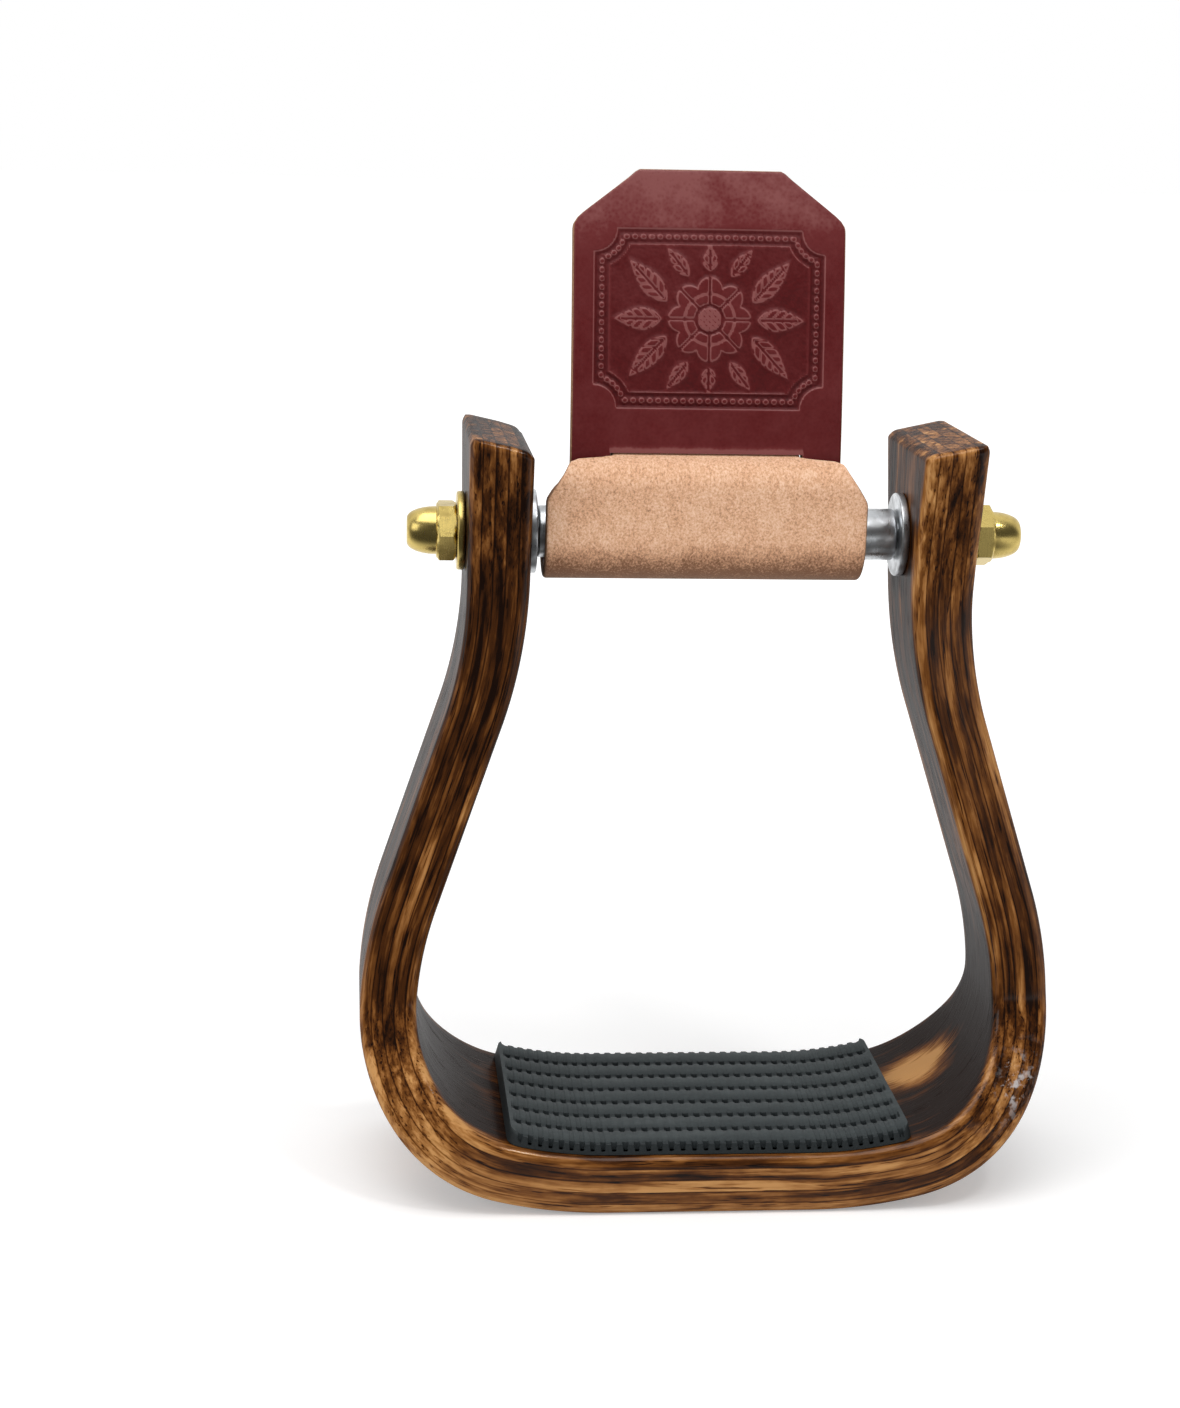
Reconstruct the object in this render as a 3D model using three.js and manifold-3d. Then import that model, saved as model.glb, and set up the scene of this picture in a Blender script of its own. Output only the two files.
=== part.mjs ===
// Western stirrup with a roller bar: a bow of five bent and glued hardwood plies, a grooved rubber
// tread pad, a bolt with a steel roller between the arms, and a folded leather keeper on the roller.
// Millimetres. X runs along the bolt, -Y is the front, +Z is up, and the tread stands on Z = 0.

import * as THREE from 'three';
import { mergeVertices } from 'three/addons/utils/BufferGeometryUtils.js';
import Module from 'manifold-3d';

// Bow: sizes that a rider or a maker would ask for
const NECK_INNER_WIDTH = 77;
const BOW_HEIGHT = 156;
const TREAD_WIDTH = 55;
const WAIST_WIDTH = 27.5;
const NECK_WIDTH = 41.5;

// Bow: thickness of the glued stack and its plies
const TREAD_THICKNESS = 12.6;
const SIDE_THICKNESS = 11.6;
const NECK_THICKNESS = 12.6;
const PLY_COUNT = 5;

// Bow: bends of its centreline, from the flat of the tread to the straight end of the arm
const TREAD_RISE_RADIUS = 90;
const TREAD_RISE_ANGLE = 14;
const CORNER_RADIUS = 31;
const CORNER_ANGLE = 79;
const SIDE_RADIUS = 84;
const SIDE_LEAN = 18.4;
const NECK_RADIUS = 94;

// Bow: how its width changes with height, seen from the side
const TREAD_FLARE_FOOT = 9;
const TREAD_FLARE_HEIGHT = 35;
const NECK_FLARE_ANGLE = 14;
const NECK_FLARE_RADIUS = 60;

// Bow: worked edges and the slanted ends of the arms
const EDGE_RADIUS = 2.2;
const EDGE_SHARE_OF_PLY = 0.9;
const ARM_END_SLOPE = 12;
const ARM_END_RADIUS = 2;

// Bolt, roller, washers and acorn nuts, nearest to the 1/4 inch size
const BOLT_DROP = 18.8;
const BOLT_DIAMETER = 6.35;
const BOLT_CHAMFER = 0.8;
const ROLLER_DIAMETER = 10.5;
const OUTER_WASHER_DIAMETER = 15.9;
const OUTER_WASHER_THICKNESS = 1.6;
const INNER_WASHER_DIAMETER = 17;
const INNER_WASHER_THICKNESS = 1.6;
const WASHER_EDGE = 0.3;
const NUT_ACROSS_FLATS = 11.1;
const NUT_HEX_HEIGHT = 4;
const NUT_CHAMFER_ANGLE = 30;
const NUT_DOME_DIAMETER = 9.7;
const NUT_DOME_HEIGHT = 5.9;
const NUT_CROWN_DIAMETER = 4.9;
const NUT_BORE_DEPTH = 7.2;
const LEFT_NUT_TURN = 28;
const RIGHT_NUT_TURN = 6;

// Tread pad
const PAD_LENGTH = 86;
const PAD_MARGIN = 1.5;
const PAD_THICKNESS = 3;
const PAD_BARS = 7;
const PAD_GROOVE_WIDTH = 2.3;
const PAD_GROOVE_DEPTH = 1.4;
const PAD_GROOVE_DRAFT = 0.3;

// Leather keeper: one strip, folded round the roller and passed through its own slot
const LEATHER_THICKNESS = 3.2;
const KEEPER_SHIFT = -2.9;
const ROLL_WIDTH = 64.8;
const TAB_WIDTH = 54.8;
const TAB_TOP_WIDTH = 30.4;
const TAB_LENGTH = 54.9;
const TAB_CHAMFER = 10.2;
const TAB_BASE_LEAN = 4;
const TAB_TOP_LEAN = 13;
const LEG_LEAN = 42;
const LEG_LENGTH = 9.5;
const LEG_BEND_RADIUS = 5;
const RISER_HEIGHT = 10.3;
const ROLL_SHOULDER_START = 7;
const SHOULDER_SHARE = 0.5;
const NECK_BEND_RADIUS = 4.5;
const STRAP_NECK_WIDTH = 38.2;
const STRAP_NECK_RISE = 20;
const STRAP_NECK_LENGTH = 6.4;
const SHOULDER_STEP = 1;
const BACK_TAB_LENGTH = 51;
const BACK_TAB_TOP_LEAN = 11.5;
const SLOT_CLEARANCE = 0.4;

// Clearances
const SEAT_GAP = 0.1;
const GLUE_GAP = 0.15;
const BORE_CLEARANCE = 0.3;
const ROLLER_END_PLAY = 0.4;
const KEEPER_SLACK = 0.6;
const KEEPER_SEAT_GAP = 0.33;
const BOLT_END_CLEARANCE = 0.8;

// How closely points are taken as one, and how finely round stretches are cut
const SAME_POINT = 1e-4;
const FACET_TURN = 6;
const FACET_LENGTH = 5.5;
const ROUND_SIDES = 36;
const EDGE_FACETS = 3;
const DOME_FACETS = 8;

const wasm = await Module();
wasm.setup();

const radians = THREE.MathUtils.degToRad;
const tangentOf = (angle) => Math.tan(radians(angle));
const lerp = THREE.MathUtils.lerp;

// Turns closed geometry into a solid for joining and cutting.
function toSolid(geometry) {
  const bare = geometry.clone();
  bare.deleteAttribute('normal');
  bare.deleteAttribute('uv');
  const merged = mergeVertices(bare, SAME_POINT);
  return new wasm.Manifold(
    new wasm.Mesh({
      numProp: 3,
      vertProperties: new Float32Array(merged.attributes.position.array),
      triVerts: new Uint32Array(merged.index.array),
    }),
  );
}

// Turns a solid back into geometry.
function toGeometry(solid) {
  const mesh = solid.getMesh();
  const geometry = new THREE.BufferGeometry();
  geometry.setAttribute('position', new THREE.BufferAttribute(mesh.vertProperties, 3));
  geometry.setIndex(new THREE.BufferAttribute(mesh.triVerts, 1));
  geometry.computeVertexNormals();
  return geometry;
}

const cut = (body, tool) => toGeometry(toSolid(body).subtract(toSolid(tool)));
const join = (a, b) => toGeometry(toSolid(a).add(toSolid(b)));
const overlapOf = (a, b) => toGeometry(toSolid(a).intersect(toSolid(b)));

// Lays out a flat path of straight and round stretches. Each stretch has a length or a radius,
// the angle it turns left in degrees, and the values that it reaches at its end.
function layPath(start, heading, stretches, values) {
  const stations = [{ x: start.x, y: start.y, heading, along: 0, ...values }];
  for (const { length, radius, turn = 0, ...ends } of stretches) {
    const span = length ?? radius * radians(Math.abs(turn));
    const turnSteps = Math.ceil(Math.abs(turn) / FACET_TURN - SAME_POINT);
    const count = Math.max(1, turnSteps, Math.ceil(span / FACET_LENGTH));
    const first = stations.at(-1);
    const half = radians(turn / count / 2);
    const chord = (span / count) * (half ? Math.sin(half) / half : 1);
    for (let i = 1; i <= count; i++) {
      const last = stations.at(-1);
      const direction = radians(last.heading) + half;
      const station = {
        ...last,
        x: last.x + chord * Math.cos(direction),
        y: last.y + chord * Math.sin(direction),
        heading: first.heading + (turn * i) / count,
        along: first.along + (span * i) / count,
      };
      for (const name of Object.keys(ends)) station[name] = lerp(first[name], ends[name], i / count);
      stations.push(station);
    }
  }
  return stations;
}

// Skins a row of flat outlines, all with the same number of points, and closes both ends.
function loft(stations, outlineOf, place) {
  const outlines = stations.map(outlineOf);
  const count = outlines[0].length;
  const points = outlines.flatMap((outline, i) => outline.map((p) => place(stations[i], p)));
  const faces = [];
  for (let i = 0; i + 1 < stations.length; i++) {
    for (let j = 0; j < count; j++) {
      const a = i * count + j;
      const b = i * count + ((j + 1) % count);
      faces.push(a, b, b + count, a, b + count, a + count);
    }
  }
  for (const end of [0, stations.length - 1]) {
    const outline = outlines[end];
    const winding = Math.sign(THREE.ShapeUtils.area(outline));
    for (const [a, b, c] of THREE.ShapeUtils.triangulateShape(outline, [])) {
      const turned = Math.sign(THREE.ShapeUtils.area([outline[a], outline[b], outline[c]])) !== winding;
      const triangle = turned === (end === 0) ? [a, b, c] : [a, c, b];
      faces.push(...triangle.map((k) => k + end * count));
    }
  }
  const geometry = new THREE.BufferGeometry().setFromPoints(points);
  geometry.setIndex(faces);
  geometry.computeVertexNormals();
  return geometry;
}

// Bow centreline, from the middle of the tread to the end of an arm. The flat of the tread takes up
// what the bends leave of the neck's width, and the straight of the side what they leave of the height.
// The arm's end is straight to the foot of the washers, so that they seat flat.
const ARM_END_LENGTH = BOLT_DROP + OUTER_WASHER_DIAMETER / 2;
const lowerBends = [
  { radius: TREAD_RISE_RADIUS, turn: TREAD_RISE_ANGLE, thickness: TREAD_THICKNESS },
  { radius: CORNER_RADIUS, turn: CORNER_ANGLE, thickness: SIDE_THICKNESS },
  { radius: SIDE_RADIUS, turn: 90 + SIDE_LEAN - TREAD_RISE_ANGLE - CORNER_ANGLE, thickness: SIDE_THICKNESS },
];
const neckBend = { radius: NECK_RADIUS, turn: -SIDE_LEAN, thickness: NECK_THICKNESS };
const bendsAlone = layPath(new THREE.Vector2(), 0, [...lowerBends, neckBend], {}).at(-1);
const NECK_CENTRE = NECK_INNER_WIDTH / 2 + NECK_THICKNESS / 2;
const SIDE_RISE = BOW_HEIGHT - TREAD_THICKNESS / 2 - ARM_END_LENGTH - bendsAlone.y;
const SIDE_STRAIGHT = SIDE_RISE / Math.cos(radians(SIDE_LEAN));
const TREAD_HALF_FLAT = NECK_CENTRE - bendsAlone.x + SIDE_RISE * tangentOf(SIDE_LEAN);
const halfBow = layPath(
  new THREE.Vector2(0, TREAD_THICKNESS / 2),
  0,
  [
    { length: TREAD_HALF_FLAT },
    ...lowerBends,
    { length: SIDE_STRAIGHT },
    neckBend,
    { length: ARM_END_LENGTH - ARM_END_RADIUS },
  ],
  { thickness: TREAD_THICKNESS, round: 0 },
);

// The last few steps of an arm round its end over.
const armEnd = halfBow.at(-1);
for (let i = 1; i <= EDGE_FACETS; i++) {
  const angle = (i / EDGE_FACETS) * (Math.PI / 2);
  const y = BOW_HEIGHT - ARM_END_RADIUS * (1 - Math.sin(angle));
  halfBow.push({ ...armEnd, y, round: ARM_END_RADIUS * (1 - Math.cos(angle)) });
}

// The whole bow, from the end of the left arm to the end of the right one.
const rightArm = halfBow.map((s) => ({ ...s, side: 1, isEnd: s.y > armEnd.y - SAME_POINT }));
const leftArm = rightArm.slice(1).reverse().map((s) => ({ ...s, side: -1 }));
const bow = [...leftArm, ...rightArm];

// Width of the bow at a height: wide tread, narrow waist, and the flare of the neck.
function bowWidth(height) {
  const flareTop = TREAD_FLARE_FOOT + TREAD_FLARE_HEIGHT;
  const aboveFoot = THREE.MathUtils.smoothstep(height, TREAD_FLARE_FOOT, flareTop);
  const bendHeight = NECK_FLARE_RADIUS * Math.sin(radians(NECK_FLARE_ANGLE));
  const bendWidth = NECK_FLARE_RADIUS * (1 - Math.cos(radians(NECK_FLARE_ANGLE)));
  const straightHeight = ((NECK_WIDTH - WAIST_WIDTH) / 2 - bendWidth) / tangentOf(NECK_FLARE_ANGLE);
  const start = BOW_HEIGHT - straightHeight - bendHeight;
  const rise = THREE.MathUtils.clamp(height - start, 0, bendHeight);
  const curved = NECK_FLARE_RADIUS - Math.sqrt(NECK_FLARE_RADIUS ** 2 - rise ** 2);
  const straight = Math.max(0, height - start - bendHeight) * tangentOf(NECK_FLARE_ANGLE);
  return lerp(TREAD_WIDTH, WAIST_WIDTH, aboveFoot) + 2 * (curved + straight);
}

// A point of the bow: x is measured from the centreline away from the foot opening, y along the bow's width.
function placeOnBow(station, { x: out, y: across }) {
  const angle = radians(station.heading);
  const slant = station.isEnd ? out * tangentOf(ARM_END_SLOPE) : 0;
  return new THREE.Vector3(
    station.side * (station.x + out * Math.sin(angle)),
    across,
    station.y - out * Math.cos(angle) + slant,
  );
}

// A corner of a section, rounded by reach. It runs from the bow's face to its edge, or back if reversed.
function sectionCorner(out, across, reach, reversed) {
  if (reach === 0) return [new THREE.Vector2(out, across)];
  const points = [];
  for (let i = 0; i <= EDGE_FACETS; i++) {
    const angle = (i / EDGE_FACETS) * (Math.PI / 2);
    const fromFace = Math.abs(reach) * (1 - Math.cos(angle));
    const fromEdge = Math.abs(reach) * (1 - Math.sin(angle));
    points.push(new THREE.Vector2(out - Math.sign(reach) * fromFace, across - Math.sign(across) * fromEdge));
  }
  return reversed ? points.reverse() : points;
}

// Section of one ply. The first and last plies carry the rounded edges of the stack.
function plyOutline(station, index) {
  const half = bowWidth(station.y) / 2 - station.round;
  const level = (k) => (k / PLY_COUNT - 0.5) * station.thickness;
  const isFirst = index === 0;
  const isLast = index === PLY_COUNT - 1;
  const inner = level(index) + (isFirst ? station.round : 0);
  const outer = level(index + 1) - (isLast ? station.round : 0);
  const reach = Math.min(EDGE_RADIUS, EDGE_SHARE_OF_PLY * (outer - inner));
  return [
    ...sectionCorner(inner, -half, isFirst ? -reach : 0, false),
    ...sectionCorner(outer, -half, isLast ? reach : 0, true),
    ...sectionCorner(outer, half, isLast ? reach : 0, false),
    ...sectionCorner(inner, half, isFirst ? -reach : 0, true),
  ];
}

// Bolt line, and the places along X where things seat on it
const BOLT_HEIGHT = BOW_HEIGHT - BOLT_DROP;
const BOLT_HOLE_RADIUS = BOLT_DIAMETER / 2 + BORE_CLEARANCE;
const ARM_INNER = NECK_INNER_WIDTH / 2;
const ARM_OUTER = ARM_INNER + NECK_THICKNESS;
const INNER_WASHER_FACE = ARM_INNER - SEAT_GAP - INNER_WASHER_THICKNESS;
const NUT_SEAT = ARM_OUTER + SEAT_GAP + OUTER_WASHER_THICKNESS + SEAT_GAP;
const BOLT_END = NUT_SEAT + NUT_BORE_DEPTH - BOLT_END_CLEARANCE;
const ROLLER_LENGTH = 2 * (INNER_WASHER_FACE - ROLLER_END_PLAY);

// Turned pieces: a closed profile of radius and height, spun about the bolt line.
const pointsOf = (pairs) => pairs.map(([x, y]) => new THREE.Vector2(x, y));
const spin = (profile) => new THREE.LatheGeometry(pointsOf(profile), ROUND_SIDES);

const rodGeometry = (radius, length) =>
  new THREE.CylinderGeometry(radius, radius, length, ROUND_SIDES).rotateZ(-Math.PI / 2);

function boltGeometry() {
  const radius = BOLT_DIAMETER / 2;
  return spin([
    [0, -BOLT_END],
    [radius - BOLT_CHAMFER, -BOLT_END],
    [radius, BOLT_CHAMFER - BOLT_END],
    [radius, BOLT_END - BOLT_CHAMFER],
    [radius - BOLT_CHAMFER, BOLT_END],
    [0, BOLT_END],
  ]).rotateZ(-Math.PI / 2);
}

function rollerGeometry() {
  const inner = BOLT_DIAMETER / 2 + BORE_CLEARANCE;
  const outer = ROLLER_DIAMETER / 2;
  const half = ROLLER_LENGTH / 2;
  return spin([
    [inner, -half],
    [outer - WASHER_EDGE, -half],
    [outer, WASHER_EDGE - half],
    [outer, half - WASHER_EDGE],
    [outer - WASHER_EDGE, half],
    [inner, half],
    [inner, -half],
  ]).rotateZ(-Math.PI / 2);
}

function washerGeometry(diameter, thickness) {
  const inner = BOLT_DIAMETER / 2 + BORE_CLEARANCE;
  const outer = diameter / 2;
  return spin([
    [inner, 0],
    [outer - WASHER_EDGE, 0],
    [outer, WASHER_EDGE],
    [outer, thickness - WASHER_EDGE],
    [outer - WASHER_EDGE, thickness],
    [inner, thickness],
    [inner, 0],
  ]).rotateZ(-Math.PI / 2);
}

// Acorn nut: a hexagon with both faces chamfered, a low dome with a flat crown, and a blind bore.
function nutGeometry() {
  const corner = NUT_ACROSS_FLATS / 2 / Math.cos(Math.PI / 6);
  const hexagon = new THREE.CylinderGeometry(corner, corner, NUT_HEX_HEIGHT, 6);
  hexagon.translate(0, NUT_HEX_HEIGHT / 2, 0);
  const chamfer = (corner - NUT_ACROSS_FLATS / 2) * tangentOf(NUT_CHAMFER_ANGLE);
  const turned = spin([
    [0, 0],
    [NUT_ACROSS_FLATS / 2, 0],
    [corner, chamfer],
    [corner, NUT_HEX_HEIGHT - chamfer],
    [NUT_ACROSS_FLATS / 2, NUT_HEX_HEIGHT],
    [0, NUT_HEX_HEIGHT],
  ]);
  const crown = NUT_CROWN_DIAMETER / 2;
  const curve = new THREE.EllipseCurve(
    crown, NUT_HEX_HEIGHT, NUT_DOME_DIAMETER / 2 - crown, NUT_DOME_HEIGHT, 0, Math.PI / 2,
  );
  const base = NUT_HEX_HEIGHT / 2;
  const dome = spin([
    [0, base],
    [NUT_DOME_DIAMETER / 2, base],
    ...curve.getPoints(DOME_FACETS).map((p) => [p.x, p.y]),
    [0, NUT_HEX_HEIGHT + NUT_DOME_HEIGHT],
  ]);
  const bore = spin([
    [0, -1],
    [BOLT_HOLE_RADIUS, -1],
    [BOLT_HOLE_RADIUS, NUT_BORE_DEPTH],
    [0, NUT_BORE_DEPTH],
  ]);
  return cut(join(overlapOf(hexagon, turned), dome), bore).rotateZ(-Math.PI / 2);
}

// Tread pad: grooved along its length, bent to the tread, and stopped short of the rounded edges.
function padGeometry() {
  const half = PAD_LENGTH / 2;
  const inside = halfBow.filter((s) => s.along < half);
  const next = halfBow[inside.length];
  const last = inside.at(-1);
  const part = (half - last.along) / (next.along - last.along);
  const end = { ...last };
  for (const name of ['x', 'y', 'heading', 'along', 'thickness']) {
    end[name] = lerp(last[name], next[name], part);
  }
  const right = [...inside, end].map((s) => ({ ...s, side: 1 }));
  const left = right.slice(1).reverse().map((s) => ({ ...s, side: -1 }));
  return loft([...left, ...right], padOutline, placeOnBow);
}

function padOutline(station) {
  const bottom = -station.thickness / 2 - GLUE_GAP;
  const top = bottom - PAD_THICKNESS;
  const edge = TREAD_WIDTH / 2 - PAD_MARGIN;
  const floor = top + PAD_GROOVE_DEPTH;
  const outline = [[top, -edge], [bottom, -edge], [bottom, edge], [top, edge]];
  for (let i = 1; i < PAD_BARS; i++) {
    const middle = edge - (2 * edge * i) / PAD_BARS;
    const mouth = PAD_GROOVE_WIDTH / 2;
    const root = mouth - PAD_GROOVE_DRAFT;
    outline.push([top, middle + mouth], [floor, middle + root]);
    outline.push([floor, middle - root], [top, middle - mouth]);
  }
  return pointsOf(outline);
}

// Keeper: paths of the middle of the leather in the YZ plane, measured from the middle of its loop.
const LOOP_RADIUS = ROLLER_DIAMETER / 2 + KEEPER_SLACK + LEATHER_THICKNESS / 2;

// The loop is wider than the roller and rests on it with its legs, so its middle hangs below the bolt line.
const KEEPER_HANG = (KEEPER_SLACK - KEEPER_SEAT_GAP) / Math.sin(radians(LEG_LEAN));
const lap = FACET_TURN;

// From under the roller, up behind it, forward as two legs, and up as the front tab.
function frontTabPath() {
  const start = new THREE.Vector2(0, -LOOP_RADIUS).rotateAround(new THREE.Vector2(), -radians(lap));
  const tabLean = TAB_TOP_LEAN - TAB_BASE_LEAN;
  const chamferTurn = (tabLean * TAB_CHAMFER) / TAB_LENGTH;
  return layPath(start, -lap, [
    { radius: LOOP_RADIUS, turn: lap },
    { radius: LOOP_RADIUS, turn: 90 },
    { radius: LOOP_RADIUS, turn: LEG_LEAN, width: TAB_WIDTH },
    { length: LEG_LENGTH },
    { radius: LEG_BEND_RADIUS, turn: -LEG_LEAN - TAB_BASE_LEAN },
    { length: TAB_LENGTH - TAB_CHAMFER, turn: chamferTurn - tabLean },
    { length: TAB_CHAMFER, turn: -chamferTurn, width: TAB_TOP_WIDTH },
  ], { width: ROLL_WIDTH });
}

// From under the roller, up in front of it, back through the slot as a narrow neck, and up as the back tab.
const riserPath = [
  { radius: LOOP_RADIUS, turn: -90 },
  { length: ROLL_SHOULDER_START },
  { length: RISER_HEIGHT - ROLL_SHOULDER_START, width: lerp(ROLL_WIDTH, TAB_WIDTH, SHOULDER_SHARE) },
  { radius: NECK_BEND_RADIUS, turn: STRAP_NECK_RISE - 90, width: TAB_WIDTH },
];
const backTabPath = () => {
  const tabLean = BACK_TAB_TOP_LEAN - TAB_BASE_LEAN;
  const chamferTurn = (tabLean * TAB_CHAMFER) / BACK_TAB_LENGTH;
  return layPath(new THREE.Vector2(0, -LOOP_RADIUS), 180, [
    ...riserPath,
    { length: SHOULDER_STEP, width: STRAP_NECK_WIDTH },
    { length: STRAP_NECK_LENGTH - SHOULDER_STEP },
    { radius: NECK_BEND_RADIUS, turn: 90 - TAB_BASE_LEAN - STRAP_NECK_RISE },
    { length: SHOULDER_STEP, width: TAB_WIDTH },
    { length: BACK_TAB_LENGTH - TAB_CHAMFER, turn: chamferTurn - tabLean },
    { length: TAB_CHAMFER, turn: -chamferTurn, width: TAB_TOP_WIDTH },
  ], { width: ROLL_WIDTH });
};

const strapOutline = ({ width }) => [
  new THREE.Vector2(-width / 2, -LEATHER_THICKNESS / 2),
  new THREE.Vector2(-width / 2, LEATHER_THICKNESS / 2),
  new THREE.Vector2(width / 2, LEATHER_THICKNESS / 2),
  new THREE.Vector2(width / 2, -LEATHER_THICKNESS / 2),
];

function placeOnStrap(station, { x: across, y: out }) {
  const angle = radians(station.heading);
  return new THREE.Vector3(across, station.x - out * Math.sin(angle), station.y + out * Math.cos(angle));
}

// The slot is cut along the line on which the neck passes through the tab, well past both its faces.
function slotTool() {
  const bend = layPath(new THREE.Vector2(0, -LOOP_RADIUS), 180, riserPath, {}).at(-1);
  const height = LEATHER_THICKNESS + 2 * SLOT_CLEARANCE;
  const width = STRAP_NECK_WIDTH + 2 * SLOT_CLEARANCE;
  const depth = 2 * (STRAP_NECK_LENGTH + 2 * LEATHER_THICKNESS);
  return new THREE.BoxGeometry(width, depth, height)
    .rotateX(radians(STRAP_NECK_RISE))
    .translate(0, bend.x, bend.y);
}

function keeperGeometry() {
  const front = loft(frontTabPath(), strapOutline, placeOnStrap);
  const back = loft(backTabPath(), strapOutline, placeOnStrap);
  return join(cut(front, slotTool()), back);
}

// Finishes
function finish(color, roughness, metalness = 0) {
  return new THREE.MeshStandardMaterial({ color, roughness, metalness });
}
const burntOak = finish(0x6b4020, 0.4);
const brass = finish(0xb59a4a, 0.3, 1);
const zinc = finish(0xb9c0c4, 0.35, 1);
const rubber = finish(0x3c4446, 0.85);
const leather = finish(0x55201f, 0.6);

// Assembly
const stirrup = new THREE.Group();

function addPiece(parent, name, geometry, material) {
  const mesh = new THREE.Mesh(geometry, material);
  mesh.name = name;
  parent.add(mesh);
  return mesh;
}

const boltHole = rodGeometry(BOLT_HOLE_RADIUS, 2 * BOLT_END).translate(0, 0, BOLT_HEIGHT);
for (let i = 0; i < PLY_COUNT; i++) {
  const ply = loft(bow, (station) => plyOutline(station, i), placeOnBow);
  addPiece(stirrup, `bow_ply_${i + 1}`, cut(ply, boltHole), burntOak);
}
addPiece(stirrup, 'tread_pad', padGeometry(), rubber);

const bar = new THREE.Group();
bar.position.z = BOLT_HEIGHT;
stirrup.add(bar);
addPiece(bar, 'bolt', boltGeometry(), zinc);
addPiece(bar, 'roller', rollerGeometry(), zinc);
addPiece(bar, 'leather_keeper', keeperGeometry(), leather).position.set(KEEPER_SHIFT, 0, -KEEPER_HANG);

for (const [side, direction, nutTurn] of [['left', -1, LEFT_NUT_TURN], ['right', 1, RIGHT_NUT_TURN]]) {
  const end = new THREE.Group();
  end.rotation.z = direction > 0 ? 0 : Math.PI;
  bar.add(end);
  const innerWasher = washerGeometry(INNER_WASHER_DIAMETER, INNER_WASHER_THICKNESS);
  addPiece(end, `inner_washer_${side}`, innerWasher, zinc).position.x = INNER_WASHER_FACE;
  const outerWasher = washerGeometry(OUTER_WASHER_DIAMETER, OUTER_WASHER_THICKNESS);
  addPiece(end, `outer_washer_${side}`, outerWasher, brass).position.x = ARM_OUTER + SEAT_GAP;
  const nut = addPiece(end, `acorn_nut_${side}`, nutGeometry(), brass);
  nut.position.x = NUT_SEAT;
  nut.rotation.x = radians(nutTurn);
}

export default stirrup;
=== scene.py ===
import math

import bmesh
import bpy
import numpy as np
from mathutils import Matrix, Vector


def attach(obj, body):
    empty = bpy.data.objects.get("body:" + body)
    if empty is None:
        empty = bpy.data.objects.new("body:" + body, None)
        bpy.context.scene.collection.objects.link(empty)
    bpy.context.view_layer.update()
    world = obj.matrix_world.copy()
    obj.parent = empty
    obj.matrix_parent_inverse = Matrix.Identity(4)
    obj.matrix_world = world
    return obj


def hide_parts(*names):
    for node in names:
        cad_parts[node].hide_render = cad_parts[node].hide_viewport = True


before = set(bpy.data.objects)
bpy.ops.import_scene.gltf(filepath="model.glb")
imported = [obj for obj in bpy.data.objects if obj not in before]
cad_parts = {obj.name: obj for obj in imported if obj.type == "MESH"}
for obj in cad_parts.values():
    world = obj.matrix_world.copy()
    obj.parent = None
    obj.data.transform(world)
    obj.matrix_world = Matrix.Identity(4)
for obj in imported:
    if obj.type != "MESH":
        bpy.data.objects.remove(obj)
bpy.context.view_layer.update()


# Camera, half a metre away, a little to the left of the stirrup and a little above its top.
# It is tilted, as it was when the photograph was taken.
def placed(name, data):
    """An object of a mesh, curve, lamp or camera, in the scene."""
    made = bpy.data.objects.new(name, data)
    bpy.context.scene.collection.objects.link(made)
    return made


camera = placed("camera", bpy.data.cameras.new("camera"))
bpy.context.scene.camera = camera
camera.data.lens = 66.5
camera.matrix_world = (
    Matrix.Translation((-0.0746, -0.5189, 0.2243))
    @ Matrix.Rotation(math.radians(-5.48), 4, "Z")
    @ Matrix.Rotation(math.radians(90 - 13.28), 4, "X")
    @ Matrix.Rotation(math.radians(1.44), 4, "Z")
)


# Studio: a pale floor that keeps the stirrup's shadow, a white background and three soft lamps.
# In mirrored rays the floor in front and all that lies behind the camera are darker, so that
# metal and varnish have something to mirror.
bpy.context.scene.view_settings.view_transform = "Standard"


def put(tree, kind, inputs=None, **settings):
    """Adds a node. Inputs are given by name or number, as a value or as a socket to link."""
    node = tree.nodes.new(kind)
    for name, value in settings.items():
        setattr(node, name, value)
    for name, value in (inputs or {}).items():
        if isinstance(value, bpy.types.NodeSocket):
            tree.links.new(value, node.inputs[name])
        else:
            node.inputs[name].default_value = value
    return node


def calc(tree, operation, *values):
    return put(tree, "ShaderNodeMath", dict(enumerate(values)), operation=operation).outputs[0]


def scaled(tree, vector, factor):
    return put(tree, "ShaderNodeVectorMath", {0: vector, "Scale": factor}, operation="SCALE").outputs[0]


def parts(tree, vector):
    """The X, Y and Z of a vector."""
    return put(tree, "ShaderNodeSeparateXYZ", {0: vector}).outputs


def remap(tree, value, low, high, first=0, last=1, kind="LINEAR"):
    """Turns a value between low and high into one between first and last."""
    numbers = {"Value": value, "From Min": low, "From Max": high, "To Min": first, "To Max": last}
    return put(tree, "ShaderNodeMapRange", numbers, interpolation_type=kind).outputs[0]


def fade(tree, value, low, high, first=0, last=1):
    """The same, eased at both ends."""
    return remap(tree, value, low, high, first, last, "SMOOTHSTEP")


def background_rays(tree):
    """1 for the rays that see the background, from the camera, off gloss or through glass.
    The second answer is 1 for those off gloss alone."""
    path = put(tree, "ShaderNodeLightPath").outputs
    gloss = calc(tree, "MAXIMUM", path["Is Glossy Ray"], path["Is Transmission Ray"])
    return calc(tree, "MAXIMUM", path["Is Camera Ray"], gloss), path["Is Glossy Ray"]


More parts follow.
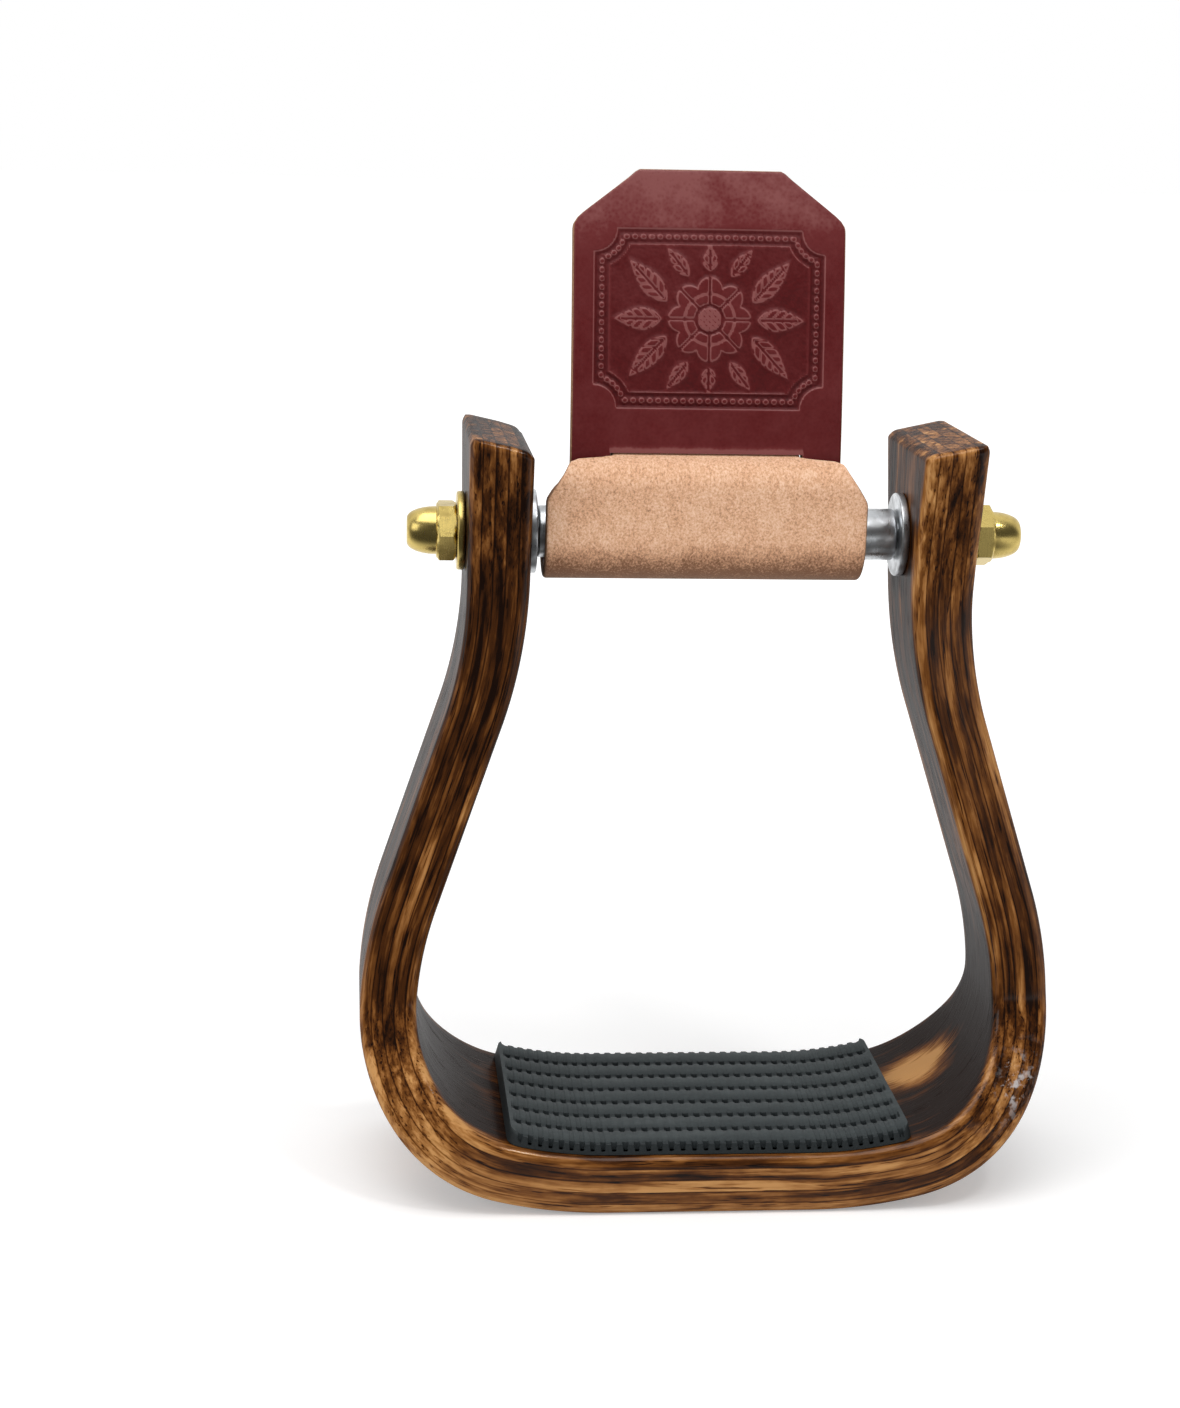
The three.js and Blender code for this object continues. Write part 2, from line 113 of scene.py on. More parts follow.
def fresh_material(name):
    material = bpy.data.materials.new(name)
    material.use_nodes = True
    material.node_tree.nodes.clear()
    return material, material.node_tree


def finish_with(tree, shader):
    put(tree, "ShaderNodeOutputMaterial", {"Surface": shader.outputs[0]})


floor_material, tree = fresh_material("floor_pale")
seen, mirrored = background_rays(tree)
floor_place = put(tree, "ShaderNodeTexCoord").outputs["Object"]
floor_spot = parts(tree, floor_place)
in_front = fade(tree, floor_spot["Y"], 0.04, -0.13)
not_right = fade(tree, floor_spot["X"], 0.3, 0.06, 0.3)
shade = calc(tree, "MULTIPLY", calc(tree, "MULTIPLY", in_front, not_right), calc(tree, "MULTIPLY", mirrored, 0.94))
kept_light = calc(tree, "SUBTRACT", 1, shade)
matte = put(tree, "ShaderNodeBsdfDiffuse", {"Color": scaled(tree, (0.8, 0.8, 0.8), kept_light)})
far = put(tree, "ShaderNodeVectorMath", {0: floor_place}, operation="LENGTH").outputs["Value"]
added = calc(tree, "MULTIPLY", seen, remap(tree, far, 0.1, 0.7, 0.3, 0.7))
glow = put(tree, "ShaderNodeEmission", {"Strength": calc(tree, "MULTIPLY", added, kept_light)})
finish_with(tree, put(tree, "ShaderNodeAddShader", {0: matte.outputs[0], 1: glow.outputs[0]}))
floor_mesh = bpy.data.meshes.new("floor")
floor_mesh.from_pydata([(-6, -6, 0), (6, -6, 0), (6, 6, 0), (-6, 6, 0)], [], [(0, 1, 2, 3)])
floor_mesh.materials.append(floor_material)
floor = placed("floor", floor_mesh)

world = bpy.data.worlds.new("studio")
bpy.context.scene.world = world
world.use_nodes = True
tree = world.node_tree
tree.nodes.clear()
seen, mirrored = background_rays(tree)
direction = put(tree, "ShaderNodeTexCoord").outputs["Generated"]
ahead = parts(tree, direction)["Y"]
dimmed = calc(tree, "MULTIPLY", remap(tree, ahead, 0.15, -0.3), mirrored)
bright = calc(tree, "SUBTRACT", 1, calc(tree, "MULTIPLY", dimmed, 0.9))
level = calc(tree, "MULTIPLY", bright, calc(tree, "ADD", 0.55, calc(tree, "MULTIPLY", seen, 0.45)))
sky = put(tree, "ShaderNodeBackground", {"Color": (1, 1, 1, 1), "Strength": level})
put(tree, "ShaderNodeOutputWorld", {"Surface": sky.outputs[0]})

stirrup_middle = Vector((0, 0, 0.09))
for name, place, size, power in [
    ("lamp_overhead", (-0.15, -0.25, 0.95), 0.7, 4.2),
    ("lamp_left", (-0.8, -0.55, 0.5), 0.5, 1.6),
    ("lamp_glint", (0.25, -0.35, 0.75), 0.1, 0.9),
]:
    lamp = bpy.data.lights.new(name, "AREA")
    lamp.size, lamp.energy = size, power
    turn = (stirrup_middle - Vector(place)).to_track_quat("-Z", "Y").to_matrix().to_4x4()
    placed(name, lamp).matrix_world = Matrix.Translation(place) @ turn


# Bow: five oak plies, glued and bent together, torch-burnt, and varnished to a gloss.
# Each ply starts as a flat blank with worked edges, and is then bent along the bow's centreline.
MM = 0.001
BOW_HEIGHT, NECK_INNER, TREAD_THICKNESS, SIDE_THICKNESS = 156, 77, 12.6, 11.6
BOLT_HEIGHT, BOLT_BORE, BRASS_WASHER, PLIES = 137.2, 3.475, 7.95, 5
ARM_STRAIGHT = BOW_HEIGHT - BOLT_HEIGHT + BRASS_WASHER
TREAD_WIDTH, WAIST_WIDTH, NECK_WIDTH = 55, 27.5, 41.5
NECK_RADIUS, NECK_TURN = 94, 18.4
EDGE_ROUND, END_ROUND, END_RISE, ARM_SLOPE, SPARE = 2.1, 1.4, 1.3, 12, 4


def follow(start, heading, bends, step):
    """Points of a flat path of stretches, each a length and the degrees that it turns left."""
    points, along, heading = [np.array(start, float)], [0.0], math.radians(heading)
    for length, turn in bends:
        first, done = points[-1], along[-1]
        for part in np.linspace(0, 1, max(2, math.ceil(length / step)) + 1)[1:]:
            angle = math.radians(turn) * part / 2
            reach = length * part * np.sinc(angle / math.pi)
            points.append(first + reach * np.array([math.cos(heading + angle), math.sin(heading + angle)]))
            along.append(done + length * part)
        heading += math.radians(turn)
    return np.array(points), np.array(along)


def arc(radius, turn):
    return radius * math.radians(abs(turn)), turn


def path_curve(name, points):
    """A curve object through the points, given in metres."""
    curve = bpy.data.curves.new(name, "CURVE")
    curve.dimensions = "3D"
    spline = curve.splines.new("POLY")
    spline.points.add(len(points) - 1)
    spline.points.foreach_set("co", np.column_stack([points, np.ones(len(points))]).ravel())
    return placed(name, curve)


lower_bends = [arc(90, 14), arc(31, 79), arc(84, 15.4)]
neck_bend, lean = arc(NECK_RADIUS, -NECK_TURN), math.radians(NECK_TURN)
alone, _ = follow((0, 0), 0, [*lower_bends, neck_bend], 1)
side_rise = BOW_HEIGHT - TREAD_THICKNESS / 2 - ARM_STRAIGHT - alone[-1][1]
half_flat = NECK_INNER / 2 + TREAD_THICKNESS / 2 - alone[-1][0] + side_rise * math.tan(lean)
bends = [(half_flat, 0), *lower_bends, (side_rise / math.cos(lean), 0), neck_bend, (ARM_STRAIGHT, 0)]
half_path, half_along = follow((0, TREAD_THICKNESS / 2), 0, [*bends, (SPARE, 0)], 0.6)
HALF_BOW = sum(length for length, _ in bends)
stretch_ends = np.cumsum([0] + [length for length, _ in bends])
stretch_thickness = [TREAD_THICKNESS] * 3 + [SIDE_THICKNESS] * 3 + [TREAD_THICKNESS] * 2
whole_path = np.concatenate([half_path[:0:-1] * (-1, 1), half_path])
bow_line = path_curve("bow_line", np.column_stack([whole_path[:, 0], 0 * whole_path[:, 0], whole_path[:, 1]]) * MM)
BOW_LINE_LENGTH = 2 * (HALF_BOW + SPARE)


def bow_width(height):
    """Wide tread, narrow waist and the flare of the neck."""
    tread_top, narrowing, flare_radius, flare = 9, 35, 60, math.radians(14)
    rise = np.clip((height - tread_top) / narrowing, 0, 1)
    foot = TREAD_WIDTH + (WAIST_WIDTH - TREAD_WIDTH) * rise * rise * (3 - 2 * rise)
    flare_high, flare_wide = flare_radius * math.sin(flare), flare_radius * (1 - math.cos(flare))
    start = BOW_HEIGHT - ((NECK_WIDTH - WAIST_WIDTH) / 2 - flare_wide) / math.tan(flare) - flare_high
    climb = np.clip(height - start, 0, flare_high)
    straight = np.maximum(0, height - start - flare_high) * math.tan(flare)
    return foot + 2 * (flare_radius - np.sqrt(flare_radius**2 - climb**2) + straight)


def steps_to_edge(radius, count=4):
    """Distances from an edge, closest first, that a rounding of the radius turns into even steps."""
    return radius * (1 - np.tan(np.linspace(np.pi / 4, 0, count + 1)))


def round_edges(lattice, gaps, radius, middle=(0, 0, 0)):
    """Rounds a block's points near its outer edges, and says how far each is round the edge."""
    short = np.clip(radius - np.stack(gaps, -1), 0, None)
    pull = short * np.sign(lattice - middle)
    length = np.maximum(np.linalg.norm(short, axis=-1, keepdims=True), 1e-9)
    ordered = np.sort(short, axis=-1)
    return lattice - pull + pull * ordered[..., 2:] / length, ordered[..., 1] / radius


def shell_of(lattice, kept=None):
    """Skins a block of points. Returns the faces and whether each is on the top, bottom or rim."""
    rows, columns, layers = lattice.shape[:3]
    index = np.arange(rows * columns * layers).reshape(rows, columns, layers)
    kept = np.ones((rows - 1, columns - 1), bool) if kept is None else kept
    row, column = np.nonzero(kept)
    faces, sides = [], []
    for layer, side, order in [(layers - 1, 0, slice(None)), (0, 1, slice(None, None, -1))]:
        sheet = index[:, :, layer]
        cell = [sheet[row, column], sheet[row + 1, column], sheet[row + 1, column + 1], sheet[row, column + 1]]
        faces.append(np.stack(cell, -1)[:, order])
        sides.append(np.full(len(row), side))
    padded = np.pad(kept, 1)
    for axis in (0, 1):
        change = np.diff(padded.astype(int), axis=axis)
        change = change[:, 1:-1] if axis == 0 else change[1:-1, :]
        for value in (1, -1):
            row, column = np.nonzero(change == value)
            next_row, next_column = row + (axis == 1), column + (axis == 0)
            for layer in range(layers - 1):
                ring = [index[row, column, layer], index[next_row, next_column, layer],
                        index[next_row, next_column, layer + 1], index[row, column, layer + 1]]
                wall = np.stack(ring, -1)
                faces.append(wall[:, ::-1] if (value == 1) == (axis == 0) else wall)
                sides.append(np.full(len(wall), 2))
    return np.concatenate(faces), np.concatenate(sides)


def blank_mesh(name, lattice, kept=None, **marks):
    """A mesh of the lattice's skin, in metres, with its marks as attributes of its points."""
    faces, sides = shell_of(lattice, kept)
    used, faces = np.unique(faces, return_inverse=True)
    mesh = bpy.data.meshes.new(name)
    mesh.from_pydata(lattice.reshape(-1, 3)[used] * MM, [], faces.reshape(-1, 4))
    mesh.attributes.new("side", "INT", "FACE").data.foreach_set("value", sides.astype(np.int32))
    for mark, values in marks.items():
        values = np.ascontiguousarray(np.broadcast_to(values, lattice.shape[:3])).reshape(-1)[used]
        mesh.attributes.new(mark, "FLOAT", "POINT").data.foreach_set("value", values.astype(np.float32))
    mesh.polygons.foreach_set("use_smooth", np.ones(len(mesh.polygons), bool))
    return mesh


def new_tree(family, name, inputs, outputs):
    """A node tree with named inputs and outputs. Returns it with the sockets at its two ends."""
    tree = bpy.data.node_groups.new(name, family + "NodeTree")
    for way, sockets in (("INPUT", inputs), ("OUTPUT", outputs)):
        for label, kind in sockets.items():
            tree.interface.new_socket(label, in_out=way, socket_type="NodeSocket" + kind)
    return tree, tree.nodes.new("NodeGroupInput").outputs, tree.nodes.new("NodeGroupOutput").inputs


def vector_calc(tree, operation, *values):
    return put(tree, "ShaderNodeVectorMath", dict(enumerate(values)), operation=operation).outputs[0]


bend_along, given, result = new_tree("Geometry", "bend_along_path", {
    "Geometry": "Geometry", "Path": "Object", "Path length": "Float", "Width axis": "Vector",
    "Face finish": "Material", "Back finish": "Material", "Rim finish": "Material",
}, {"Geometry": "Geometry"})
flat_place = put(bend_along, "GeometryNodeInputPosition").outputs[0]
marked = put(bend_along, "GeometryNodeStoreNamedAttribute", {
    "Geometry": given["Geometry"], "Name": "grain", "Value": flat_place,
}, data_type="FLOAT_VECTOR", domain="POINT")
flat = parts(bend_along, flat_place)
line = put(bend_along, "GeometryNodeObjectInfo", {"Object": given["Path"]}).outputs["Geometry"]
station = put(bend_along, "GeometryNodeSampleCurve", {
    "Curves": line, "Factor": calc(bend_along, "DIVIDE", flat["X"], given["Path length"]),
}, mode="FACTOR").outputs
rise = vector_calc(bend_along, "CROSS_PRODUCT", station["Tangent"], given["Width axis"])
rise = vector_calc(bend_along, "NORMALIZE", rise)
sideways = scaled(bend_along, given["Width axis"], flat["Y"])
off_line = vector_calc(bend_along, "ADD", sideways, scaled(bend_along, rise, flat["Z"]))
bent = put(bend_along, "GeometryNodeSetPosition", {
    "Geometry": marked.outputs[0], "Position": vector_calc(bend_along, "ADD", station["Position"], off_line),
})
side = put(bend_along, "GeometryNodeInputNamedAttribute", {"Name": "side"}, data_type="INT").outputs[0]
dressed = put(bend_along, "GeometryNodeRealizeInstances", {0: bent.outputs[0]})
for number, label in enumerate(["Face finish", "Back finish", "Rim finish"]):
    chosen = put(bend_along, "FunctionNodeCompare", {2: side, 3: number}, data_type="INT", operation="EQUAL")
    dressed = put(bend_along, "GeometryNodeSetMaterial", {
        "Geometry": dressed.outputs[0], "Selection": chosen.outputs[0], "Material": given[label],
    })
bend_along.links.new(dressed.outputs[0], result[0])


def shaped(made, tree, values):
    """Puts a tree on an object, with its inputs set by their sockets' identifiers."""
    modifier = made.modifiers.new(tree.name, "NODES")
    modifier.node_group = tree
    for item in tree.interface.items_tree:
        if item.in_out == "INPUT" and item.name in values:
            modifier[item.identifier] = values[item.name]


def bend_piece(made, path, length, width_axis, face, back=None, rim=None):
    """Bends a flat piece along a path and gives its three sides their finishes."""
    shaped(made, bend_along, {
        "Path": path, "Path length": length * MM, "Width axis": width_axis,
        "Face finish": face, "Back finish": back or face, "Rim finish": rim or face,
    })


def settled(made):
    """Turns an object and its modifiers into a plain mesh."""
    graph = bpy.context.evaluated_depsgraph_get()
    mesh = bpy.data.meshes.new_from_object(made.evaluated_get(graph))
    made.modifiers.clear()
    made.data = mesh
    mesh.name = made.name


def noise(tree, vector, stretch, detail=2, roughness=0.5):
    """Noise with a number of lumps per metre, one for all three axes or one for each."""
    stretch = stretch if isinstance(stretch, tuple) else (stretch,) * 3
    return put(tree, "ShaderNodeTexNoise", {
        "Vector": vector_calc(tree, "MULTIPLY", vector, stretch), "Scale": 1,
        "Detail": detail, "Roughness": roughness,
    }).outputs[0]


def weighted(tree, *pairs):
    """Sum of values, each times its weight."""
    total = 0
    for value, weight in pairs:
        total = put(tree, "ShaderNodeMath", {0: value, 1: weight, 2: total}, operation="MULTIPLY_ADD").outputs[0]
    return total


def ramp(tree, factor, *stops):
    """Colours between stops, each a place from 0 to 1 and a colour."""
    node = put(tree, "ShaderNodeValToRGB", {0: factor})
    elements = node.color_ramp.elements
    elements[0].position, elements[1].position = stops[0][0], stops[-1][0]
    for place, _ in stops[1:-1]:
        elements.new(place)
    for element, (_, colour) in zip(elements, stops):
        element.color = (*colour, 1)
    return node.outputs[0]


def read_mark(tree, name, output="Fac"):
    return put(tree, "ShaderNodeAttribute", attribute_name=name).outputs[output]


def relief(tree, height, strength, depth):
    """The normal of a surface whose height changes by up to a depth in metres."""
    return put(tree, "ShaderNodeBump", {"Height": height, "Strength": strength, "Distance": depth}).outputs[0]


RING_WIDTH = 0.0021
oak, given, result = new_tree("Shader", "oak_figure", {
    "Grain": "Vector", "Log": "Vector", "Heart": "Vector", "Char": "Float",
}, {"Colour": "Color", "Roughness": "Float", "Height": "Float"})
timber = vector_calc(oak, "ADD", given["Grain"], given["Log"])
sway = noise(oak, timber, (9, 26, 26))
wander = noise(oak, timber, (38, 130, 130))
from_heart = vector_calc(oak, "SUBTRACT", given["Grain"], given["Heart"])
from_heart = parts(oak, from_heart)
aside = weighted(oak, (from_heart["Y"], 1), (sway, 0.012))
squares = [calc(oak, "MULTIPLY", side, side) for side in (aside, from_heart["Z"])]
ring = calc(oak, "SQRT", weighted(oak, (squares[0], 1), (squares[1], 1)))
ring = weighted(oak, (ring, 1), (from_heart["X"], 0.03), (wander, 0.0022))
year = calc(oak, "FRACT", calc(oak, "DIVIDE", ring, RING_WIDTH))
porous = calc(oak, "MULTIPLY", fade(oak, year, 0.6, 0.15), fade(oak, year, 0, 0.08))
pores = fade(oak, noise(oak, timber, (150, 2900, 2900), 1), 0.56, 0.68)
pores = calc(oak, "MULTIPLY", pores, weighted(oak, (porous, 0.75), (1, 0.3)))
fibre = noise(oak, timber, (40, 1500, 1500), 3, 0.6)
streak = noise(oak, timber, (17, 330, 330), 3, 0.6)
scorch = noise(oak, timber, (24, 80, 80), 3, 0.6)
fleck = noise(oak, timber, (120, 460, 460), 3, 0.6)
tone = weighted(
    oak, (scorch, 1.5), (fleck, 0.8), (streak, 1.3), (fibre, 0.7), (porous, 0.16), (pores, 0.4),
    (given["Char"], 1), (1, -1.68),
)
colour = ramp(
    oak, tone,
    (0.0, (0.56, 0.285, 0.098)), (0.22, (0.37, 0.162, 0.046)), (0.45, (0.18, 0.064, 0.013)),
    (0.68, (0.064, 0.019, 0.003)), (1.0, (0.010, 0.003, 0.001)),
)
oak.links.new(colour, result["Colour"])
oak.links.new(weighted(oak, (pores, 0.2), (fibre, 0.12), (1, 0.32)), result["Roughness"])
oak.links.new(weighted(oak, (pores, -1), (streak, -0.5), (fibre, -0.35), (1, 1)), result["Height"])


def finish_as(tree, inputs):
    finish_with(tree, put(tree, "ShaderNodeBsdfPrincipled", inputs))


def oak_material(name, log, heart, char):
    """Burnt and varnished oak. Log shifts its figure, and heart is where the tree's middle lies.
    The varnish stands in small beads where the ply is marked for them, and there it has painted glints: pale specks
    in its colour."""
    material, tree = fresh_material(name)
    grain, beads = read_mark(tree, "grain", "Vector"), read_mark(tree, "beads")
    # Burning, glue lines and worked edges, with the inner ply's painted highlight, which comes in with the char
    # mark.
    burnt = weighted(
        tree, (read_mark(tree, "worked"), -0.2), (read_mark(tree, "glue"), 0.34),
        (read_mark(tree, "char"), 1), (1, char),
    )
    figure = put(tree, "ShaderNodeGroup", {
        "Grain": grain, "Log": log, "Heart": heart, "Char": burnt,
    }, node_tree=oak).outputs
    lumps = calc(tree, "MULTIPLY", fade(tree, noise(tree, grain, 750), 0.4, 0.66), beads)
    # Painted glints: pale specks over the beads, standing for lamp glints in the varnish.
    painted_glints = calc(tree, "MULTIPLY", fade(tree, noise(tree, grain, 520, 3), 0.53, 0.66), beads)
    flow = weighted(tree, (noise(tree, grain, (60, 260, 260)), 1), (lumps, 5))
    # The wood's colour, with the pale colour of the painted glints mixed in.
    wood = put(tree, "ShaderNodeMix", {
        0: painted_glints, 6: figure["Colour"], 7: (0.50, 0.46, 0.45, 1),
    }, data_type="RGBA").outputs[2]
    slanted = put(tree, "ShaderNodeLayerWeight", {"Blend": 0.5}).outputs["Facing"]
    finish_as(tree, {
        "Base Color": wood, "Roughness": figure["Roughness"], "Specular IOR Level": 0.02,
        "Normal": relief(tree, figure["Height"], 0.6, 0.00012),
        "Coat Weight": remap(tree, slanted, 0.25, 0.55, 0.45, 0.06), "Coat Roughness": 0.13,
        "Coat IOR": 1.5, "Coat Normal": relief(tree, flow, 0.35, 0.0004),
    })
    return material


def near(value, middle, width, power=2):
    """1 at the middle, fading to nothing about two widths away."""
    return np.exp(-(((value - middle) / width) ** power))


def char_and_highlight_marks(along, across, half, number):
    """Where the torch lingered: the right corner, the arms near the bar and the outer ply's sides.
    The inside of both corners is burnt nearly black, apart from a painted highlight behind the pad's right:
    a lighter patch that stands for a reflection in the varnish."""
    away = np.abs(along)
    neck = near(away, 172, 22) * (0.5 + 0.5 * np.sin(across / 9 + along / 40))
    on_arm = np.clip((away - 60) / 35, 0, 1)
    marks = 0.2 * near(along, 92, 26) - 0.2 * near(along, -66, 17) + 0.2 * neck
    marks += on_arm * np.where(along < 0, 0.08, -0.13) - 0.1 * (1 - on_arm)
    if number == PLIES - 1:
        marks += on_arm * 0.18
    if number == 0:
        inside = np.clip((half - np.abs(across) - 1) / 4, 0, 1)
        burnt = 0.8 * near(away, 72, 30, 4) + 0.3 * np.clip((away - 90) / 20, 0, 1)
        # Painted highlight: a lighter patch on the inner ply behind the pad's right, standing for the varnish's
        # reflection there.
        painted_highlight_patch = near(along, 54, 14) * near(across, 6, 10)
        marks += inside * (1.25 * burnt * (1 - painted_highlight_patch) - 0.6 * painted_highlight_patch) + 0.35 * (1 - painted_highlight_patch) * near(along, 0, 46, 6)
    return marks


def bead_and_glint_marks(along, across, inward, half):
    """Where the varnish stands in small beads and has painted glints: the front of the right corner."""
    return near(along, 70, 5) * near(inward, -1.5, 3.2) * np.clip((5 - across - half) / 4, 0, 1)


def ply_lattice(number):
    """Points of a ply's flat blank, along the bow, across it and inwards from its centreline,
    and the marks that its finish reads."""
    step, inner_lines, glue_line, end_zone, sanding, sanded_depth = 1.4, 13, 0.22, 12, 0.015, 6
    to_edge = steps_to_edge(EDGE_ROUND)
    to_end = to_edge * END_ROUND / EDGE_ROUND
    reach = np.concatenate([np.arange(0, HALF_BOW - EDGE_ROUND, step), (HALF_BOW - to_end)[::-1]])
    along = np.concatenate([-reach[:0:-1], reach])
    thick = np.interp(np.abs(along), stretch_ends, stretch_thickness)[:, None]
    low, high = thick * (0.5 - (number + 1) / PLIES), thick * (0.5 - number / PLIES)
    depths, glued = [low, low + glue_line, high - glue_line, high], [1, 0, 0, 1]
    if number == 0:
        depths = [low, low + glue_line, *(high - gap for gap in to_edge[::-1])]
        glued = [1] + [0] * (len(depths) - 1)
    if number == PLIES - 1:
        depths = [*(low + gap for gap in to_edge), high - glue_line, high]
        glued = [0] * (len(depths) - 1) + [1]
    inward = np.concatenate(depths, 1)[:, None, :]
    along, thick = along[:, None, None], thick[:, :, None]
    past = np.clip((np.abs(along) - HALF_BOW + end_zone) / end_zone, 0, 1) ** 2
    sanded_off = np.where(along < 0, sanding * np.clip(inward - thick / 2 + sanded_depth, 0, None) ** 2, 0)
    slant = past * (END_RISE - inward * math.tan(math.radians(ARM_SLOPE)) - sanded_off)
    half = bow_width(np.interp(np.abs(along) + slant, half_along, half_path[:, 1])) / 2
    lines = [-(half - gap) for gap in to_edge]
    lines += [line * (half - EDGE_ROUND) for line in np.linspace(-1, 1, inner_lines + 2)[1:-1]]
    lines += [half - gap for gap in to_edge[::-1]]
    across = np.stack(lines, 1)[:, :, 0]
    along, across, inward, thick, slant = np.broadcast_arrays(along, across, inward, thick, slant)
    half = across.max(1, keepdims=True)
    tightness = EDGE_ROUND / END_ROUND
    gaps = [(HALF_BOW - np.abs(along)) * tightness, half - np.abs(across), thick / 2 - np.abs(inward)]
    lattice, worked = round_edges(np.stack([along, across, inward], -1), gaps, EDGE_ROUND)
    lattice[..., 0] = along + (lattice[..., 0] - along) / tightness + np.sign(along) * slant + HALF_BOW + SPARE
    # The char mark also carries the inner ply's painted highlight, and the beads mark also places painted glints.
    return lattice, {
        "worked": worked, "glue": np.array(glued)[None, None, :],
        "char": char_and_highlight_marks(along, across, half, number), "beads": bead_and_glint_marks(along, across, inward, half),
    }


drill = placed("drill", bpy.data.meshes.new("drill"))
DRILL_SIDES, DRILL_HALF = 64, 0.07
turns = np.linspace(0, 2 * math.pi, DRILL_SIDES + 1)[:-1]
circle = [(BOLT_BORE * MM * math.cos(turn), BOLT_BORE * MM * math.sin(turn)) for turn in turns]
pairs = [(this, (this + 1) % DRILL_SIDES) for this in range(DRILL_SIDES)]
drill.data.from_pydata(
    [(x, y, BOLT_HEIGHT * MM + z) for x in (-DRILL_HALF, DRILL_HALF) for y, z in circle], [],
    [tuple(reversed(range(DRILL_SIDES))), tuple(range(DRILL_SIDES, 2 * DRILL_SIDES)),
     *((this, after, DRILL_SIDES + after, DRILL_SIDES + this) for this, after in pairs)],
)

# The log, its heart and the burning of each ply, from the inside out.
ply_finishes = [
    ((0.00, 0.00, 0.00), (0.02, 0.006, -0.045), 0.0),
    ((0.31, 0.11, 0.05), (-0.05, -0.012, -0.030), 0.1),
    ((0.57, 0.23, 0.13), (0.03, 0.020, -0.038), 0.03),
    ((0.83, 0.37, 0.19), (0.06, -0.018, 0.040), 0.14),
    ((1.17, 0.41, 0.29), (-0.02, 0.004, 0.052), 0.04),
]
for number, (log, heart, char) in enumerate(ply_finishes):
    name = f"bow_ply_{number + 1}"
    lattice, marks = ply_lattice(number)
    ply = placed(name + "_oak", blank_mesh(name, lattice, **marks))
    bend_piece(ply, bow_line, BOW_LINE_LENGTH, (0, 1, 0), oak_material(f"burnt_oak_{number + 1}", log, heart, char))
    hole = ply.modifiers.new("bolt_hole", "BOOLEAN")
    hole.object, hole.solver = drill, "EXACT"
    settled(ply)
    ply.data.set_sharp_from_angle(angle=math.radians(50))
    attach(ply, "bow")
    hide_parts(name)
bpy.data.objects.remove(drill)


# Tread pad: charcoal rubber, moulded with seven bars and a row of pits between each two,
# glued to the tread. The flat slab is pressed into ribs first, and then bent with the tread.
PAD_LENGTH, PAD_WIDTH, PAD_THICKNESS, PAD_RIM, PAD_CORNER, GLUE_GAP = 88, 52, 3, 1.4, 3.0, 0.15
BARS, BAR_CROWN, CROWN_WIDTH, GROOVE_WIDTH, GROOVE_DEPTH = 7, 0.4, 1.6, 2.0, 0.32
PITS, PIT_LENGTH, PIT_DEPTH, PIT_NOTCH, WALL = 36, 1.3, 1.3, 0.2, 0.3
press_ribs, given, result = new_tree("Geometry", "press_ribs", {"Geometry": "Geometry", **dict.fromkeys([
    "Length", "Rim", "Top", "Bar pitch", "Groove width", "Groove depth", "Pit pitch", "Pit length", "Pit depth",
], "Float")}, {"Geometry": "Geometry"})
slab_place = put(press_ribs, "GeometryNodeInputPosition").outputs[0]
slab = parts(press_ribs, slab_place)


def rib_calc(operation, *values):
    return calc(press_ribs, operation, *values)


def from_middle(value, pitch):
    """Distance from the middle of the nearest repeat."""
    part = rib_calc("SUBTRACT", rib_calc("FRACT", rib_calc("DIVIDE", value, pitch)), 0.5)
    return rib_calc("ABSOLUTE", rib_calc("MULTIPLY", part, pitch))


to_side = from_middle(rib_calc("ADD", slab["Y"], PAD_WIDTH * MM / 2), given["Bar pitch"])
bar_half = rib_calc("MULTIPLY", rib_calc("SUBTRACT", given["Bar pitch"], given["Groove width"]), 0.5)
off_bar = rib_calc("SUBTRACT", to_side, bar_half)
groove = remap(press_ribs, off_bar, 0, WALL * MM)
crown = fade(press_ribs, off_bar, -CROWN_WIDTH * MM, 0, 0, BAR_CROWN * MM)
to_end = rib_calc("MINIMUM", slab["X"], rib_calc("SUBTRACT", given["Length"], slab["X"]))
inside = remap(press_ribs, rib_calc("SUBTRACT", to_end, given["Rim"]), -WALL * MM, 0)
to_pit = from_middle(rib_calc("SUBTRACT", slab["X"], given["Rim"]), given["Pit pitch"])
pit_half = rib_calc("MULTIPLY", given["Pit length"], 0.5)
pit = remap(press_ribs, rib_calc("SUBTRACT", to_pit, pit_half), 0, -WALL * MM)
deep = rib_calc("ADD", given["Groove depth"], rib_calc("MULTIPLY", pit, given["Pit depth"]))
notched = rib_calc("ADD", crown, rib_calc("MULTIPLY", pit, PIT_NOTCH * MM))
drop = rib_calc("MULTIPLY", inside, rib_calc("ADD", notched, rib_calc("MULTIPLY", groove, deep)))
on_top = put(press_ribs, "FunctionNodeCompare", {
    0: slab["Z"], 1: rib_calc("SUBTRACT", given["Top"], 0.05 * MM),
}, data_type="FLOAT", operation="GREATER_THAN").outputs[0]
pressed = put(press_ribs, "GeometryNodeSetPosition", {
    "Geometry": given["Geometry"], "Selection": on_top,
    "Offset": put(press_ribs, "ShaderNodeCombineXYZ", {"Z": rib_calc("MULTIPLY", drop, -1)}).outputs[0],
})
press_ribs.links.new(pressed.outputs[0], result[0])

